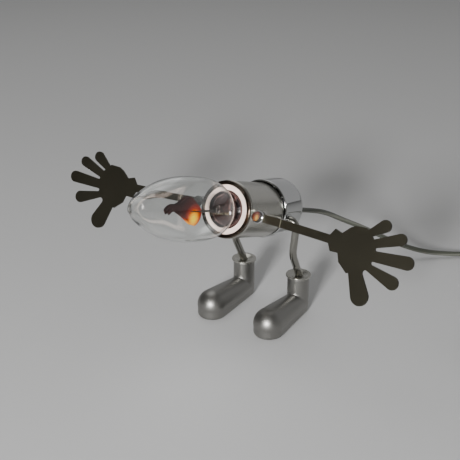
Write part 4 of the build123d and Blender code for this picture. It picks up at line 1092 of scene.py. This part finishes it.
# ---- flame plates
# Two thin steel electrodes cut to a leaning flame and welded to the support wires. Neon glows
# orange on them, brightest low down where the discharge dances.
FLAME_OUTLINE = [
    (66.1, -3.5), (67.9, -1.4), (62.9, 2.8), (57.7, 3.1), (48.6, 8.1), (44.2, 8.4), (37.5, 4.7), (31.5, 0.9),
    (29.7, -1.9), (34.5, -10.7), (40.4, -9.5), (48.0, -5.6), (56.0, -2.4), (61.6, -1.4), (64.6, -3.2),
]
PLATE_OUT = 1.2
PLATE_HALF = 0.2
GLOW_AT = (0, -6.2, 37.6)
GLOW_REACH = 18.0
GLOW_STRENGTH = 1.3
GLOW_TONES = [
    (0.12, (1.0, 0.62, 0.0)), (0.24, (0.8, 0.3, 0.0)), (0.32, (0.5, 0.09, 0.0)),
    (0.41, (0.22, 0.012, 0.0)), (0.6, (0.03, 0.0015, 0.001)), (1.0, (0.002, 0.0002, 0.0002)),
]


def glow(material):
    """Light that fades and reddens away from one spot on the plates."""
    tree = material.node_tree
    spot = tree.nodes.new("ShaderNodeTexCoord")
    apart = tree.nodes.new("ShaderNodeVectorMath")
    apart.operation = "DISTANCE"
    tree.links.new(spot.outputs["Object"], apart.inputs[0])
    apart.inputs[1].default_value = BODY @ (Vector(GLOW_AT) * MM)
    reach = ranged(tree, apart.outputs["Value"], high=GLOW_REACH * MM)
    surface = tree.nodes["Principled BSDF"]
    tree.links.new(graded(tree, reach, GLOW_TONES), surface.inputs["Emission Color"])
    surface.inputs["Emission Strength"].default_value = GLOW_STRENGTH


glowing = finish(
    "glowing electrode", (0.015, 0.004, 0.003), 0.7, shade=0.3, patches=150, uneven=0.1,
    Specular_IOR_Level=0.1,
)
glow(glowing)
flame_line = smooth_line([*FLAME_OUTLINE, FLAME_OUTLINE[0]], (0.3, 1), (0.3, 1), 5)[:-1]
plates = []
for x in (-PLATE_OUT, PLATE_OUT):
    sheet, sheet_faces = prism(flame_line, x - PLATE_HALF, x + PLATE_HALF)
    plates.append(smooth_mesh("flame_plate", [(x, up, along) for along, up, x in sheet], sheet_faces))
electrodes = joined(*plates)
electrodes.name = "flame_plates_cut"
dress(electrodes, "flame_plates", glowing, "bulb")

# ---- switch
# In-line rocker switch on the cord: two black moulded halves held by screws from below, with
# brass contacts inside and a glossy key on top.
black_plastic = finish(
    "black moulded plastic", (0.018, 0.018, 0.019), 0.38, shade=0.25, patches=70, pits=0.25, pit_scale=1500,
)
key_plastic = finish("glossy black key", (0.012, 0.012, 0.013), 0.2, shade=0.25, patches=70)
dress(softened("switch_base", "switch_base_moulded", 0.5), "switch_base", black_plastic)
dress(softened("switch_cover", "switch_cover_moulded", 0.6), "switch_cover", black_plastic)
key = softened("switch_rocker", "switch_rocker_key", 0.35)
dress(key, "switch_rocker", key_plastic, "rocker")
paint_nodes(brass, "switch_contacts")
paint_nodes(zinc, "switch_screws")

# ---- plug body
# Flat two-pin plug of black plastic moulded on the cord's end, with raised bars on top as a
# grip for the fingers.
PLUG = shift(*PLUG_ROUTE[-1]) @ Matrix.Rotation(math.radians(-88), 4, "Z")
GRIPS = 6
GRIP_START = 19.0
GRIP_END = 20.0
GRIP_HALF = 8.5
GRIP_LOW = 6.6
GRIP_TOP = 7.15
GRIP_STEP = 2.2
bar = [(GRIP_START, -GRIP_HALF), (GRIP_END, -GRIP_HALF), (GRIP_END, GRIP_HALF), (GRIP_START, GRIP_HALF)]
grip = prism(bar, GRIP_LOW, GRIP_TOP)
grips = repeats("plug_grips", *grip, GRIPS, step=(GRIP_STEP, 0, 0), place=PLUG, material=black_plastic)
plug = softened("plug_body", "plug_body_moulded", 0.3)
dress(joined(plug, grips), "plug_body", black_plastic)

# ---- plug pins
# Two round turned metal pins with rounded ends, nickel plated. The plug is moulded around
# them.
PIN_APART = 9.3
PIN_R = 2.0
PIN_START = 28
PIN_END = 55
pin_nickel = finish("nickel plug pins", (0.62, 0.60, 0.56), 0.2, metal=1.0, shade=0.08, patches=120)
pin_outline = [
    (0, PIN_START), (PIN_R, PIN_START), (PIN_R, PIN_END - 1.4), (PIN_R - 0.3, PIN_END - 0.5),
    (PIN_R / 2, PIN_END - 0.05), (0, PIN_END),
]
pins = []
for y in (-PIN_APART, PIN_APART):
    at_pin = PLUG @ shift(0, y, 0) @ Matrix.Rotation(math.pi / 2, 4, "Y")
    pins.append(turned("plug_pin", pin_outline, at_pin, 40))
pin_pair = joined(*pins)
pin_pair.name = "plug_pins_turned"
dress(pin_pair, "plug_pins", pin_nickel)
